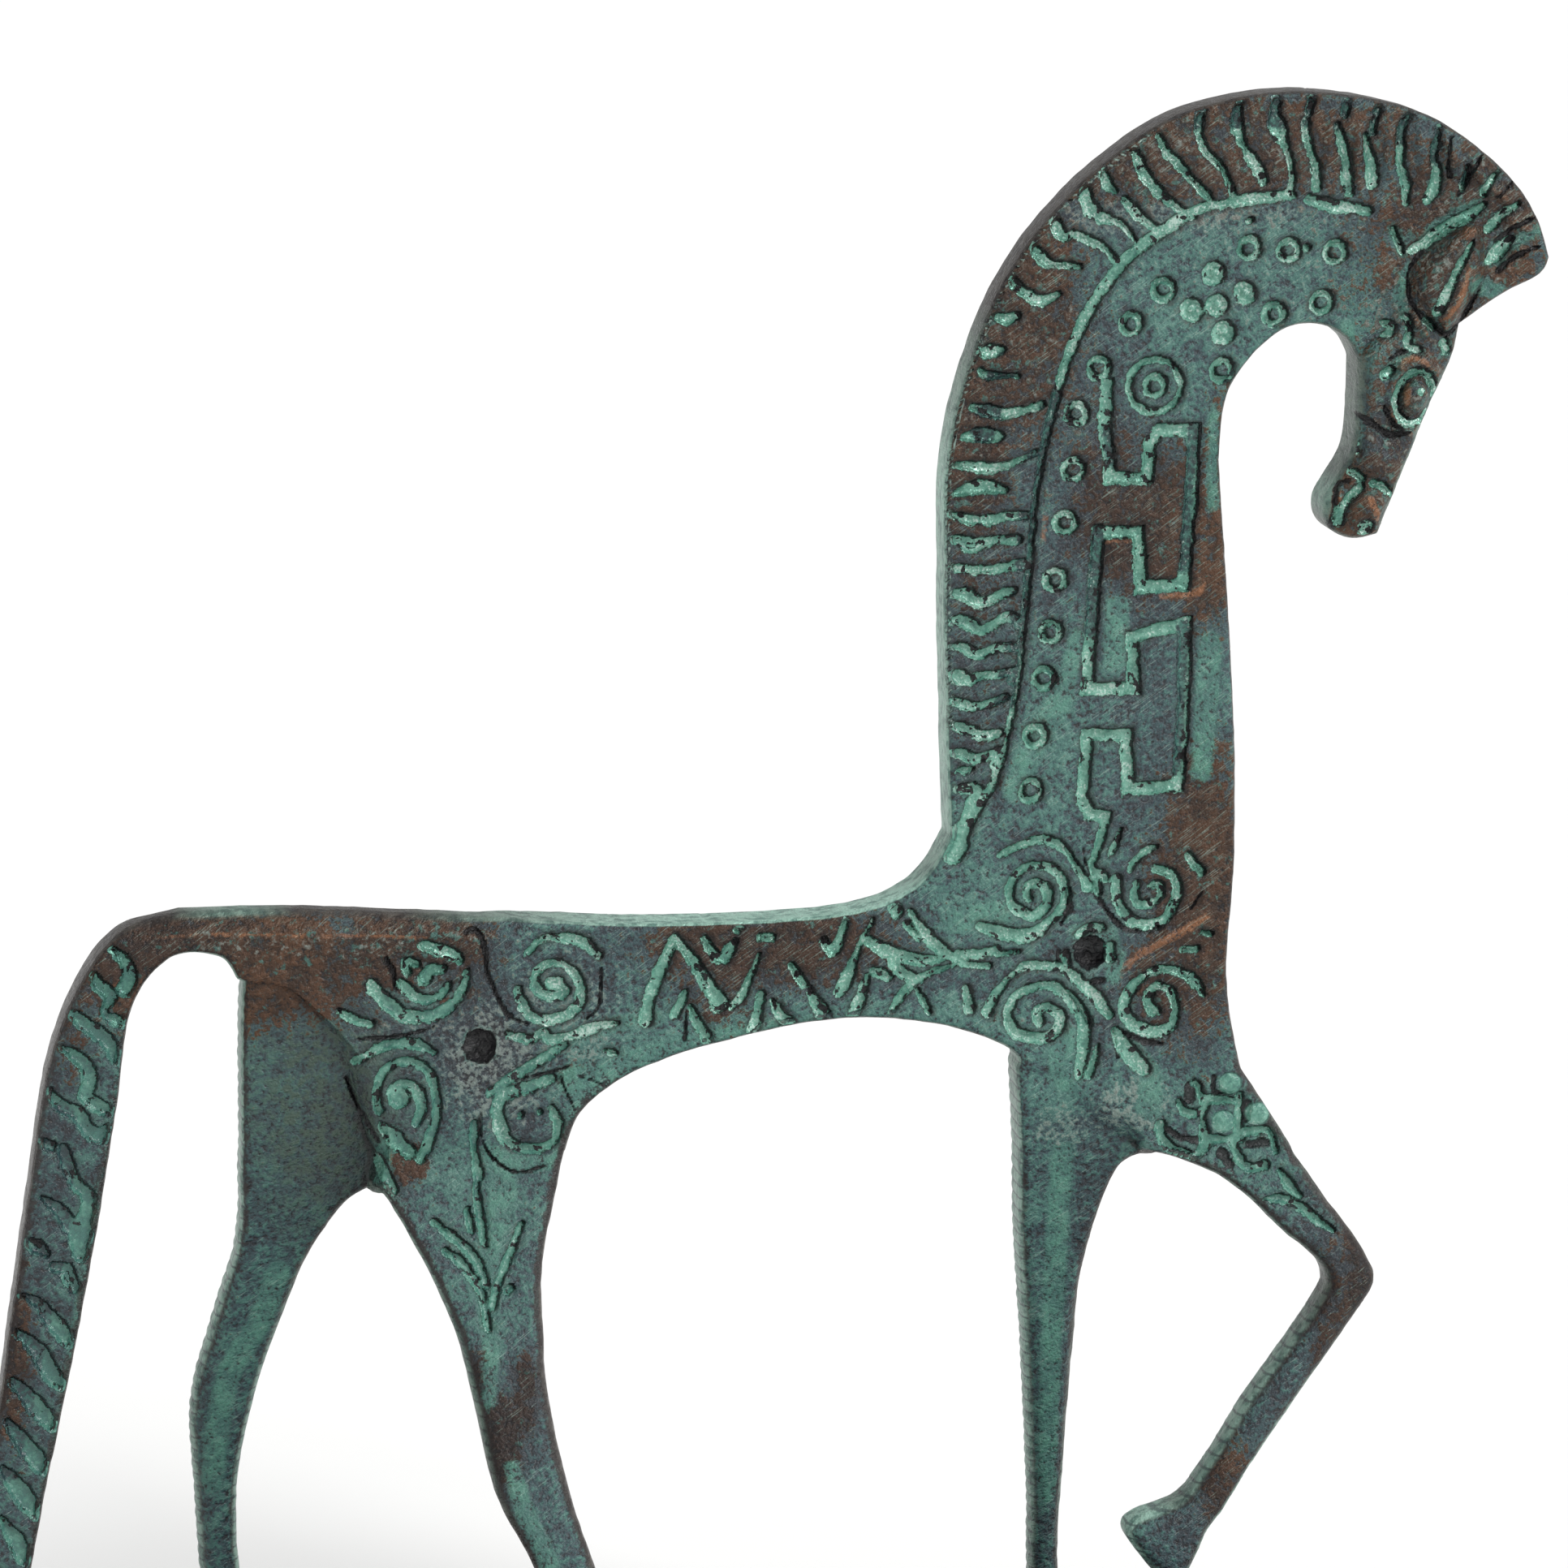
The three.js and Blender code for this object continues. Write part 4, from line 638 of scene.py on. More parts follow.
LIGHT_ZONES = [[76, 226, 18, 9, .5], [36, 131, 7, 6, 1], [33, 142, 3, 6, .9], [46, 156, 7, 10, .8],
               [37, 112, 9, 3, 1], [0, 113, 22, 3, 1], [-21, 108, 7, 5, 1], [-28, 103, 4, 5, .8],
               [-40, 85, 6, 7, .5], [-49, 88, 5, 5, .6], [52, 168, 4, 9, .5], [69, 156, 3, 6, .4],
               [48, 103, 7, 5, .9], [62, 99, 7, 4, .8], [74, 223, 9, 7, .3], [-42, 74, 4, 10, .5],
               [49, 78, 5, 16, .4], [78, 93, 6, 6, .6], [-98, 80, 5, 40, .4], [100, 219, 4, 3, .9],
               [97, 222, 4, 7, .9], [108, 215, 2, 3, .8], [91, 190, 2, 4, .7]]
PALE_ZONES = [[66, 247, 34, 6, .45], [40, 215, 7, 24, .35], [104, 205, 8, 22, .5], [112, 236, 10, 12, .4],
              [76, 226, 16, 8, .35], [-60, 127, 26, 2, .5], [66, 236.5, 20, 2.5, .7], [50, 214, 3, 12, .4],
              [105, 231, 6, 3, .6], [100, 221, 4, 5, .6], [60, 98, 5, 4, .8], [-36, 112, 9, 3, .6],
              [-50, 112, 8, 3, .5], [44, 190, 3, 20, .3], [104, 217, 5, 3, .4], [-29, 114, 8, 9, .6],
              [-40, 107, 7, 8, .8], [50, 112, 9, 8, .3], [49, 94, 4, 3, .7], [88, 226, 10, 5, .4]]
RIM_ZONES = [[89, 206, 6, 12, .3], [88, 194, 3, 3, .7], [104, 200, 5, 14, .3], [6, 131, 30, 5, 1],
             [30, 170, 6, 34, .85], [-80, 60, 6, 60, .7], [44, 50, 5, 56, .75], [77, 50, 9, 26, .6],
             [60, 31, 5, 5, .8], [-50, 70, 8, 22, .4]]
# The soft zones dull the green and darken the ground, mostly on the tail and the legs
SOFT_ZONES = [[-106, 75, 14, 62, 1], [-42, 74, 12, 34, .6], [-50, 103, 8, 10, .5], [84, 78, 18, 26, .4]]
OLIVE_ZONES = [[-66, 101, 8, 15, 1], [-74, 108, 6, 16, .5]]
CRUST_ZONES = [[-82, 50, 20, 62, .7], [-40, 70, 22, 34, 1], [50, 50, 14, 50, .6], [80, 60, 24, 44, .8],
               [-110, 60, 18, 60, .7], [-25, 104, 14, 6, .3], [55, 97, 20, 4, .4]]
ZONES = {"bare": BARE_ZONES, "dark": DARK_ZONES, "light": LIGHT_ZONES, "pale": PALE_ZONES,
         "soft": SOFT_ZONES, "olive": OLIVE_ZONES, "rim": RIM_ZONES, "crust": CRUST_ZONES}
BOTH_FACES = ("soft", "rim", "crust")
FAR_FACE_SHARE = 0.35
PAINTED_SPOTS = [[x, z, *PAD_SIZE, 1] for x, z in FORELEG_PADS] + [[*EYE_PUPIL, *PUPIL_SIZE, 1]]
PATCH_FADE = 0.8
PATCH_END = 2

# How far around a point its standing out is read, and what share each reach has
HUMP_SHARES = [(0.8, 0.7), (2.2, 0.2)]


def smooth_line(corners, step=0.6):
    """Points about a step apart on one smooth curve through the corners."""
    corners = np.asarray(corners, float)
    ends = np.vstack([corners[:1], corners, corners[-1:]])
    runs = []
    for before, start, end, after in zip(ends[:-3], ends[1:-2], ends[2:-1], ends[3:]):
        count = max(int(np.linalg.norm(end - start) / step), 1)
        t = (np.arange(count) / count)[:, None]
        leaving, arriving = (end - before) / 2, (after - start) / 2
        runs.append((2 * start - 2 * end + leaving + arriving) * t ** 3
                    + (3 * end - 3 * start - 2 * leaving - arriving) * t ** 2 + leaving * t + start)
    return np.vstack([*runs, corners[-1:]])


# Rasters over the side view. They hold distances or heights, so they are smooth between points.
GRID_X = np.arange(RASTER_LOW[0], RASTER_HIGH[0], RASTER_STEP)
GRID_Z = np.arange(RASTER_LOW[1], RASTER_HIGH[1], RASTER_STEP)


def blank(value=RASTER_REACH):
    return np.full((len(GRID_Z), len(GRID_X)), value, float)


def carve(field, line, widths, reach=RASTER_REACH, square=False):
    """Lowers a raster to the signed distance from a line of changing width, negative inside it."""
    for (x0, z0), (x1, z1), w0, w1 in zip(line[:-1], line[1:], widths[:-1], widths[1:]):
        span = reach + max(w0, w1)
        cols = slice(*np.searchsorted(GRID_X, [min(x0, x1) - span, max(x0, x1) + span]))
        rows = slice(*np.searchsorted(GRID_Z, [min(z0, z1) - span, max(z0, z1) + span]))
        run_x, run_z = x1 - x0, z1 - z0
        length = max(math.hypot(run_x, run_z), 1e-6)
        px, pz = GRID_X[cols][None, :] - x0, GRID_Z[rows][:, None] - z0
        along = (px * run_x + pz * run_z) / length
        if square:
            past = np.abs(along - length / 2) - length / 2 - w0 / 2
            aside = np.abs(pz * run_x - px * run_z) / length - w0 / 2
            corner = np.hypot(np.maximum(past, 0), np.maximum(aside, 0))
            gap = np.where(corner > 0, corner, np.maximum(past, aside))
        else:
            t = np.clip(along / length, 0, 1)
            gap = np.hypot(px - t * run_x, pz - t * run_z) - (w0 + t * (w1 - w0)) / 2
        field[rows, cols] = np.minimum(field[rows, cols], gap)


def inside(outline):
    """The raster points within a closed outline."""
    toggles = np.zeros((len(GRID_Z), len(GRID_X) + 1), int)
    for (x0, z0), (x1, z1) in zip(outline, np.roll(outline, -1, axis=0)):
        rows = np.arange(*np.searchsorted(GRID_Z, sorted((z0, z1))))
        crossing = x0 + (GRID_Z[rows] - z0) * (x1 - x0) / ((z1 - z0) or 1)
        np.add.at(toggles, (rows, np.searchsorted(GRID_X, crossing)), 1)
    return toggles.cumsum(axis=1)[:, :-1] % 2 == 1


def depth_inside(outline, reach=8.0):
    """Distance to a closed outline, positive inside it."""
    gap = blank(reach)
    closed = np.vstack([outline, outline[:1]])
    carve(gap, closed, np.zeros(len(closed)), reach)
    return np.where(inside(outline), gap, -gap)


def sample(field, points):
    """A raster's value at points between its own."""
    u = np.clip((points[:, 0] - RASTER_LOW[0]) / RASTER_STEP, 0, len(GRID_X) - 1.001)
    v = np.clip((points[:, 1] - RASTER_LOW[1]) / RASTER_STEP, 0, len(GRID_Z) - 1.001)
    i, j = u.astype(int), v.astype(int)
    u, v = u - i, v - j
    return ((field[j, i] * (1 - u) + field[j, i + 1] * u) * (1 - v)
            + (field[j + 1, i] * (1 - u) + field[j + 1, i + 1] * u) * v)


def slope(field, points):
    """How a raster's value changes along x and along the height."""
    e = RASTER_STEP * np.eye(2)
    return np.stack([(sample(field, points + e[k]) - sample(field, points - e[k])) / (2 * RASTER_STEP)
                     for k in (0, 1)], axis=1)


def unevenness(sizes, seed):
    """Smooth seeded noise over the raster, about -1 to 1, with lumps of a few sizes."""
    rng = np.random.default_rng(seed)
    height = blank(0.0)
    for size in sizes:
        across, upward = (GRID_X - RASTER_LOW[0]) / size, (GRID_Z - RASTER_LOW[1]) / size
        i, j = across.astype(int)[None, :], upward.astype(int)[:, None]
        u, v = across[None, :] - i, upward[:, None] - j
        u, v = u * u * (3 - 2 * u), v * v * (3 - 2 * v)
        lump = rng.random((j.max() + 2, i.max() + 2)) - 0.5
        height += ((lump[j, i] * (1 - u) + lump[j, i + 1] * u) * (1 - v)
                   + (lump[j + 1, i] * (1 - u) + lump[j + 1, i + 1] * u) * v)
    return height


def circle(centre, radius):
    """Points around a circle, the last of them at the first."""
    angles = np.radians(np.linspace(0, 360, RING_POINTS))
    return np.array(centre) + radius * np.stack([np.cos(angles), np.sin(angles)], axis=1)


def oval(centre, sizes, turn):
    """Points around an oval that leans by a turn in degrees."""
    across = circle((0, 0), 1) * sizes
    angle = math.radians(turn)
    lean = np.array([[math.cos(angle), math.sin(angle)], [-math.sin(angle), math.cos(angle)]])
    return np.array(centre) + across @ lean


def even(field, line, width, square=False):
    """Carves a line of one width, with round or square corners."""
    carve(field, line, np.full(len(line), width), square=square)


def dots(field, centres, width):
    """Carves small round spots."""
    for centre in centres:
        even(field, circle(centre, DOT_CORE), width)


def strokes(field, group, outline=0.0):
    """Carves strokes of changing width, each with an outline around it."""
    for corners in group:
        line = smooth_line([*corners, corners[-1]])
        carve(field, line[:, :2], line[:, 2] + outline)


def stroked(group):
    field = blank()
    strokes(field, group)
    return field


def common_grooves():
    """The figures that both faces carry."""
    field = blank()
    even(field, circle(TARGET, RING_MIDDLE), RING_WIDTH)
    even(field, circle(TARGET, TARGET_MIDDLE), TARGET_WIDTH)
    even(field, np.array(MEANDER), MEANDER_WIDTH, square=True)
    even(field, oval(EYE, EYE_RING, EYE_TURN), EYE_RING_WIDTH)
    strokes(field, [*MANE, *MANE_BORDER, *TAIL, *CHEST, *HEAD_GROOVES, EAR_SLIT], OUTLINE)
    return field


def near_grooves(common):
    """The figures of both faces and those that only the near face carries."""
    field = common.copy()
    for centre in RING_CHAIN + NECK_RINGS:
        even(field, circle(centre, RING_MIDDLE), RING_WIDTH)
    dots(field, FLOWER, FLOWER_WIDTH)
    strokes(field, [*BELLY, *HAUNCH, *FORELEG], OUTLINE)
    return field


def pits():
    field = blank()
    dots(field, ROSETTES, ROSETTE_PIT)
    return field


def nicks():
    """Small slanted file marks along the edge of the mane."""
    field = blank()
    line = smooth_line(CREST[1:7], NICK_PITCH)
    run = np.gradient(line, axis=0)
    run /= np.linalg.norm(run, axis=1)[:, None]
    inward = np.stack([run[:, 1], -run[:, 0]], axis=1)
    for start, along, across in zip(line, run, inward):
        mark = np.array([start + NICK_START * across, start + NICK_LENGTH * across + NICK_SLANT * along])
        even(field, mark, NICK_WIDTH)
    return field


def bulge(x, z, wide, high, turn=0.0):
    """1 at the middle of a leaning oval, and 0 from its edge outwards."""
    angle = math.radians(turn)
    px, pz = GRID_X[None, :] - x, GRID_Z[:, None] - z
    across = (px * math.cos(angle) + pz * math.sin(angle)) / wide
    upward = (pz * math.cos(angle) - px * math.sin(angle)) / high
    return np.clip(1 - across ** 2 - upward ** 2, 0, 1)


def relief():
    """How far the forms of the head, and the small pads, stand out of the faces."""
    height = blank(0.0)
    for *oval_shape, rise in RAISED_FORMS:
        height += rise * bulge(*oval_shape) ** FORM_POWER
    ear = depth_inside(smooth_line([*EAR, EAR[0]])[:-1])
    height += EAR_HEIGHT * np.sin(np.clip(ear / EAR_ROUND, 0, 1) * math.pi / 2)
    brow, ring = bulge(*EYE, *BROW_RING, EYE_TURN), bulge(*EYE, *EYE_RING, EYE_TURN)
    height += BROW_HEIGHT * (np.clip(brow * BROW_WALL, 0, 1) - np.clip(ring * EYE_WALL, 0, 1))
    height += EYE_HEIGHT * bulge(*EYE, *EYE_BALL, EYE_TURN) ** EYE_POWER
    for centre in FLOWER:
        height += PETAL_HEIGHT * bulge(*centre, FLOWER_CURL, FLOWER_CURL) ** PETAL_POWER
    for centre in FORELEG_PADS:
        height += PAD_HEIGHT * bulge(*centre, *PAD_SIZE) ** PAD_POWER
    return height


def joined(stretches):
    """One closed outline from its stretches, with a corner where two of them meet."""
    return np.vstack([smooth_line(stretch)[:-1] for stretch in stretches])


def leg_outline(stations):
    """The side view of a leg, run on below its sole where it stands on one."""
    sections = np.array(stations, float)
    if sections[-1, 0] == 0:
        sections = np.vstack([sections, sections[-1]])
        sections[-1, 0] = BELOW_SOLE
    front = smooth_line(sections[::-1, [2, 0]])
    rear = smooth_line(sections[:, [1, 0]], SCALLOP_STEP)
    if stations in SCALLOPED_LEGS:
        rear[:, 0] += SCALLOP * (1 - np.abs(np.sin(math.pi * rear[:, 1] / SCALLOP_PITCH)))
    return np.vstack([front, rear])


def part_depths():
    """How deep each raster point lies in the plate, in the head and in each leg, less their wear."""
    outlines = [joined(STRETCHES), joined(HEAD_STRETCHES), *map(leg_outline, LEGS)]
    worn = WORN_EDGE * (1 + unevenness(WORN_SIZES, SEEDS["wear"]))
    return [depth_inside(outline) - worn for outline in outlines]


def masses(parts):
    """For each face, how deep each raster point lies in the parts that stand furthest out there."""
    plate, head, near_hind, far_hind, far_front, raised = parts
    return {NEAR: np.max([plate, head, near_hind, raised], axis=0),
            FAR: np.max([far_hind, far_front], axis=0)}


PARTS = part_depths()
SILHOUETTE = np.max(PARTS, axis=0)
MASSES = masses(PARTS)
RAGS = RAGGED * unevenness(RAGGED_SIZES, SEEDS["rags"])
NICKS = nicks()
CREASED = stroked([*CREASES, EAR_CREASE, *CHEEK_CREASES]) + RAGS
COMMON = common_grooves()
GROOVES = {NEAR: near_grooves(COMMON) + RAGS, FAR: COMMON}
CRACKS = {NEAR: np.minimum(CREASED, NICKS), FAR: blank()}
PITS = {NEAR: pits() + PIT_RAGGED * RAGS, FAR: blank()}
PIT_FLOOR = PIT_ROUGHNESS * unevenness(PIT_SIZES, SEEDS["pit floor"])
RIPPLES = {NEAR: RIPPLE_HEIGHT * unevenness(RIPPLE_SIZES, SEEDS["ripples"]), FAR: blank(0.0)}
FORMS = relief()
PAINT = {"wash": stroked(WASHES), "fade": stroked(FADES), "copper": stroked(COPPER_LINES), "nick": NICKS}


def soft_maximum(levels):
    """The highest level, with the corners between levels filled a little."""
    highest = np.max(levels, axis=0)
    total = sum(np.exp((level - highest) / BLEND * SHARPNESS) for level in levels)
    return highest + BLEND / SHARPNESS * np.log(total)


def rounding(depth, radius):
    """How far a face falls back near its outline, as a quarter circle."""
    t = radius - np.clip(depth, 0, radius)
    return radius - np.sqrt(radius ** 2 - t ** 2)


def dished(distance, wall):
    """0 outside a groove, and 1 from a wall's width inside it, with a steep rim and a round floor."""
    t = np.clip(-distance / wall, 0, 1)
    return np.sqrt(1 - (1 - t) ** 2)


def bevel(points):
    """How far the faces lean back towards the top of the croup."""
    x, z = points[:, 0], points[:, 1]
    height = z - np.interp(x, *np.transpose(CROUP)) + BEVEL_HEIGHT
    share = np.interp(x, BEVEL_SPAN, [0, 1, 1, 0]) * (z > BEVEL_FLOOR)
    height = np.clip(height, 0, BEVEL_HEIGHT)
    return share * BEVEL_STEEPNESS * (height - BEVEL_START * (1 - np.exp(-height / BEVEL_START)))


def section_at(stations, z):
    """Middle and thickness of a leg at each height."""
    line = smooth_line(np.array(stations, float)[:, [0, 3, 4]])[::-1]
    return np.interp(z, line[:, 0], line[:, 1]), np.interp(z, line[:, 0], line[:, 2])


def part_shapes(z):
    """Middle in depth, thickness and edge rounding of the plate, the head and each leg."""
    middle = np.zeros(len(z))
    plate = (middle, middle + PLATE_THICKNESS, EDGE_ROUND)
    head = (middle, middle + HEAD_THICKNESS, HEAD_ROUND)
    leg_round = np.interp(z, LEG_ROUND_HEIGHTS, [LEG_ROUND, EDGE_ROUND])
    return [plate, head, *((*section_at(stations, z), leg_round) for stations in LEGS)]


def plain_face(points, side):
    """How far a face stands out without its ornament, at points of the side view."""
    z = points[:, 1]
    depths = np.array([sample(part, points) for part in PARTS])
    depths -= np.minimum(depths.max(axis=0), 0)
    deepest = depths.max(axis=0)
    sole = rounding(np.maximum(z, 0), SOLE_ROUND)
    faces = []
    for depth, (middle, thickness, radius) in zip(depths, part_shapes(z)):
        radius = np.maximum(radius, np.clip(JOINT_GROWTH * (deepest - depth - JOINT_START), 0, JOINT_ROUND))
        fall = np.minimum(np.maximum(rounding(depth, radius), sole), thickness / 2 - HALF_AT_EDGE)
        beyond = np.maximum(-depth, 0)
        fall += OUTER_FALL * beyond + beyond ** 2
        faces.append(side * middle + thickness / 2 - fall)
    return soft_maximum(faces)


def surface(points, side):
    """Depth of the near or the far face at points of the side view."""
    edge = sample(SILHOUETTE, points)
    groove, crack, pit = (sample(rasters[side], points) for rasters in (GROOVES, CRACKS, PITS))
    proud = plain_face(points, side) - bevel(points)
    inner = np.clip(edge / FORMS_FADE, 0, 1)
    proud += inner * (sample(FORMS, points) + sample(RIPPLES[side], points))
    kept = np.clip((edge - EDGE_KEPT) / EDGE_FADE, 0, 1)
    proud -= LIP_DEPTH * kept * np.clip(1 - groove / LIP, 0, 1) ** 2
    proud -= GROOVE_DEPTH * kept * dished(groove, GROOVE_WALL)
    proud -= CREASE_DEPTH * dished(crack, CREASE_WALL)
    proud -= (PIT_DEPTH + sample(PIT_FLOOR, points)) * dished(pit, PIT_WALL)
    return side * proud


def snap(points, fixed, field, level, reach):
    """Moves free points that lie near a contour of a raster onto it."""
    gap = sample(field, points) - level
    near = (np.abs(gap) < reach) & ~fixed
    where = points[near].copy()
    for _ in range(SNAP_TURNS):
        steepness = slope(field, where)
        gap = sample(field, where) - level
        move = gap / np.maximum((steepness ** 2).sum(axis=1), LEAST_STEEPNESS)
        where -= np.clip(move, -reach, reach)[:, None] * steepness
    points[near] = where
    fixed |= near


def side_grid():
    """Grid points over the side view, snapped to the silhouette, and the triangles within it."""
    xs = np.arange(RASTER_LOW[0] + 1, RASTER_HIGH[0] - 1, GRID_STEP)
    zs = np.arange(0, RASTER_HIGH[1] - 1, GRID_STEP)
    points = np.stack(np.meshgrid(xs, zs), axis=-1).reshape(-1, 2)
    fixed = np.zeros(len(points), bool)
    snap(points, fixed, SILHOUETTE, 0, GRID_STEP / 2)
    solid = (sample(SILHOUETTE, points) > -SLACK) | fixed
    index = np.arange(len(points)).reshape(len(zs), len(xs))
    a, b = index[:-1, :-1].ravel(), index[:-1, 1:].ravel()
    c, d = index[1:, 1:].ravel(), index[1:, :-1].ravel()
    whole = solid[a] & solid[b] & solid[c] & solid[d]
    triangles = [np.stack([a, b, c], 1)[whole], np.stack([a, c, d], 1)[whole]]
    for corner, one, two, three in ((a, b, c, d), (b, c, d, a), (c, d, a, b), (d, a, b, c)):
        three_left = ~solid[corner] & solid[one] & solid[two] & solid[three]
        triangles.append(np.stack([one, two, three], 1)[three_left])
    triangles = np.vstack(triangles)
    triangles = triangles[sample(SILHOUETTE, points[triangles].mean(axis=1)) > 0]
    used = np.unique(triangles)
    renumber = np.zeros(len(points), int)
    renumber[used] = np.arange(len(used))
    return points[used], fixed[used], renumber[triangles]


def face_points(points, fixed, side):
    """The grid for one face, also snapped to its edges and grooves."""
    points, fixed = points.copy(), fixed.copy()
    contours = [(SILHOUETTE, SNAPPED_WALL)]
    contours += [(MASSES[side], level) for level in (0, -SNAPPED_WALL, SNAPPED_WALL)]
    contours += [(rasters[side], level) for rasters in (GROOVES, PITS) for level in (0, -SNAPPED_WALL)]
    for field, level in contours:
        snap(points, fixed, field, level, SNAP_REACH)
    return np.stack([points[:, 0], surface(points, side), points[:, 1]], axis=1)


def rim(triangles, near, far, count):
    """Quads around the silhouette, in rows from the near face to the far one."""
    edges = np.vstack([triangles[:, [0, 1]], triangles[:, [1, 2]], triangles[:, [2, 0]]])
    keys = edges[:, 0] * count + edges[:, 1]
    border = edges[~np.isin(keys, edges[:, 1] * count + edges[:, 0])]
    used = np.unique(border)
    place = np.zeros(count, int)
    place[used] = np.arange(len(used))
    rows = [near[used] + (far[used] - near[used]) * k / RIM_ROWS for k in range(1, RIM_ROWS)]
    levels = [used] + [2 * count + k * len(used) + np.arange(len(used)) for k in range(RIM_ROWS - 1)]
    levels.append(used + count)
    start, end = place[border[:, 0]], place[border[:, 1]]
    quads = [np.stack([this[end], this[start], following[start], following[end]], axis=1)
             for this, following in zip(levels[:-1], levels[1:])]
    return np.vstack(rows), np.vstack(quads)


def new_mesh(name, corners, triangles):
    mesh = bpy.data.meshes.new(name)
    mesh.vertices.add(len(corners))
    mesh.vertices.foreach_set("co", corners.astype(np.float32).ravel())
    mesh.loops.add(len(triangles) * 3)
    mesh.loops.foreach_set("vertex_index", triangles.astype(np.int32).ravel())
    mesh.polygons.add(len(triangles))
    mesh.polygons.foreach_set("loop_start", np.arange(0, len(triangles) * 3, 3, dtype=np.int32))
    mesh.update(calc_edges=True)
    mesh.validate()
    return mesh


def horse_mesh():
    points, fixed, triangles = side_grid()
    count = len(points)
    near, far = face_points(points, fixed, NEAR), face_points(points, fixed, FAR)
    rim_points, quads = rim(triangles, near, far, count)
    corners = np.vstack([near, far, rim_points]) + [SHIFT_X, 0, PLINTH_TOP]
    faces = np.vstack([triangles, triangles[:, ::-1] + count, quads[:, [0, 1, 2]], quads[:, [0, 2, 3]]])
    return new_mesh("horse_full", corners * MM, faces)


def add_object(name, mesh):
    piece = bpy.data.objects.new(name, mesh)
    bpy.context.scene.collection.objects.link(piece)
    return piece


def apply_modifiers(piece):
    graph = bpy.context.evaluated_depsgraph_get()
    mesh = bpy.data.meshes.new_from_object(piece.evaluated_get(graph))
    piece.modifiers.clear()
    piece.data = mesh
    mesh.name = piece.name


def make_horse():
    piece = add_object("horse_bronze", horse_mesh())
    decimate = piece.modifiers.new("fewer", "DECIMATE")
    decimate.ratio = min(TRIANGLES / len(piece.data.polygons), 1)
    apply_modifiers(piece)
    mesh = piece.data
    mesh.polygons.foreach_set("use_smooth", np.ones(len(mesh.polygons), bool))
    mesh.set_sharp_from_angle(angle=math.radians(CREASE_DEGREES))
    store_marks(mesh)
    mesh.materials.append(bronze_material())
    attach(piece, "root")
    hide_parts("horse")


def blobs(points, zones):
    """Soft patches: the strongest of them at each point. They fade out towards PATCH_END sizes."""
    level = np.zeros(len(points))
    for x, z, wide, high, strength in zones:
        distance = np.hypot((points[:, 0] - x) / wide, (points[:, 1] - z) / high)
        level = np.maximum(level, strength * np.clip(PATCH_FADE * (PATCH_END - distance), 0, 1))
    return level


def standing_out(points, side, reach):
    """How far each point stands above the points around it, in millimetres."""
    around = [surface(points + np.array(step) * reach, side) for step in ((1, 0), (-1, 0), (0, 1), (0, -1))]
    return side * (surface(points, side) - np.mean(around, axis=0))


def store_marks(mesh):
    """What the material needs to know about each point, in millimetres or from 0 to 1."""
    places = np.zeros(len(mesh.vertices) * 3, np.float32)
    mesh.vertices.foreach_get("co", places)
    places = places.reshape(-1, 3) / MM - [SHIFT_X, 0, PLINTH_TOP]
    points = places[:, [0, 2]].astype(float)
    near, far = surface(points, NEAR), surface(points, FAR)
    is_near = (places[:, 1] - near) / np.maximum(far - near, LEAST_THICKNESS) < 0.5

    def by_face(measure):
        return np.where(is_near, measure(NEAR), measure(FAR))

    marks = {
        "groove": by_face(lambda side: sample(GROOVES[side], points)),
        "fill": by_face(lambda side: sample(GROOVES[side], points + FILL_SHIFT_LEAVING_SHADE)),
        "crack": by_face(lambda side: sample(np.minimum(CRACKS[side], PITS[side]), points)),
        "hump": by_face(lambda side: sum(share * standing_out(points, side, reach)
                                         for reach, share in HUMP_SHARES)),
        "inset": np.clip(sample(SILHOUETTE, points), 0, RASTER_REACH),
        "painted": np.where(is_near, blobs(points, PAINTED_SPOTS), 0),
    }
    for name, zones in ZONES.items():
        marks[name] = blobs(points, zones) * np.where(is_near | (name in BOTH_FACES), 1, FAR_FACE_SHARE)
    for name, field in PAINT.items():
        marks[name] = np.where(is_near, sample(field, points), RASTER_REACH)
    for name, values in marks.items():
        mesh.attributes.new(name, "FLOAT", "POINT").data.foreach_set("value", values.astype(np.float32))


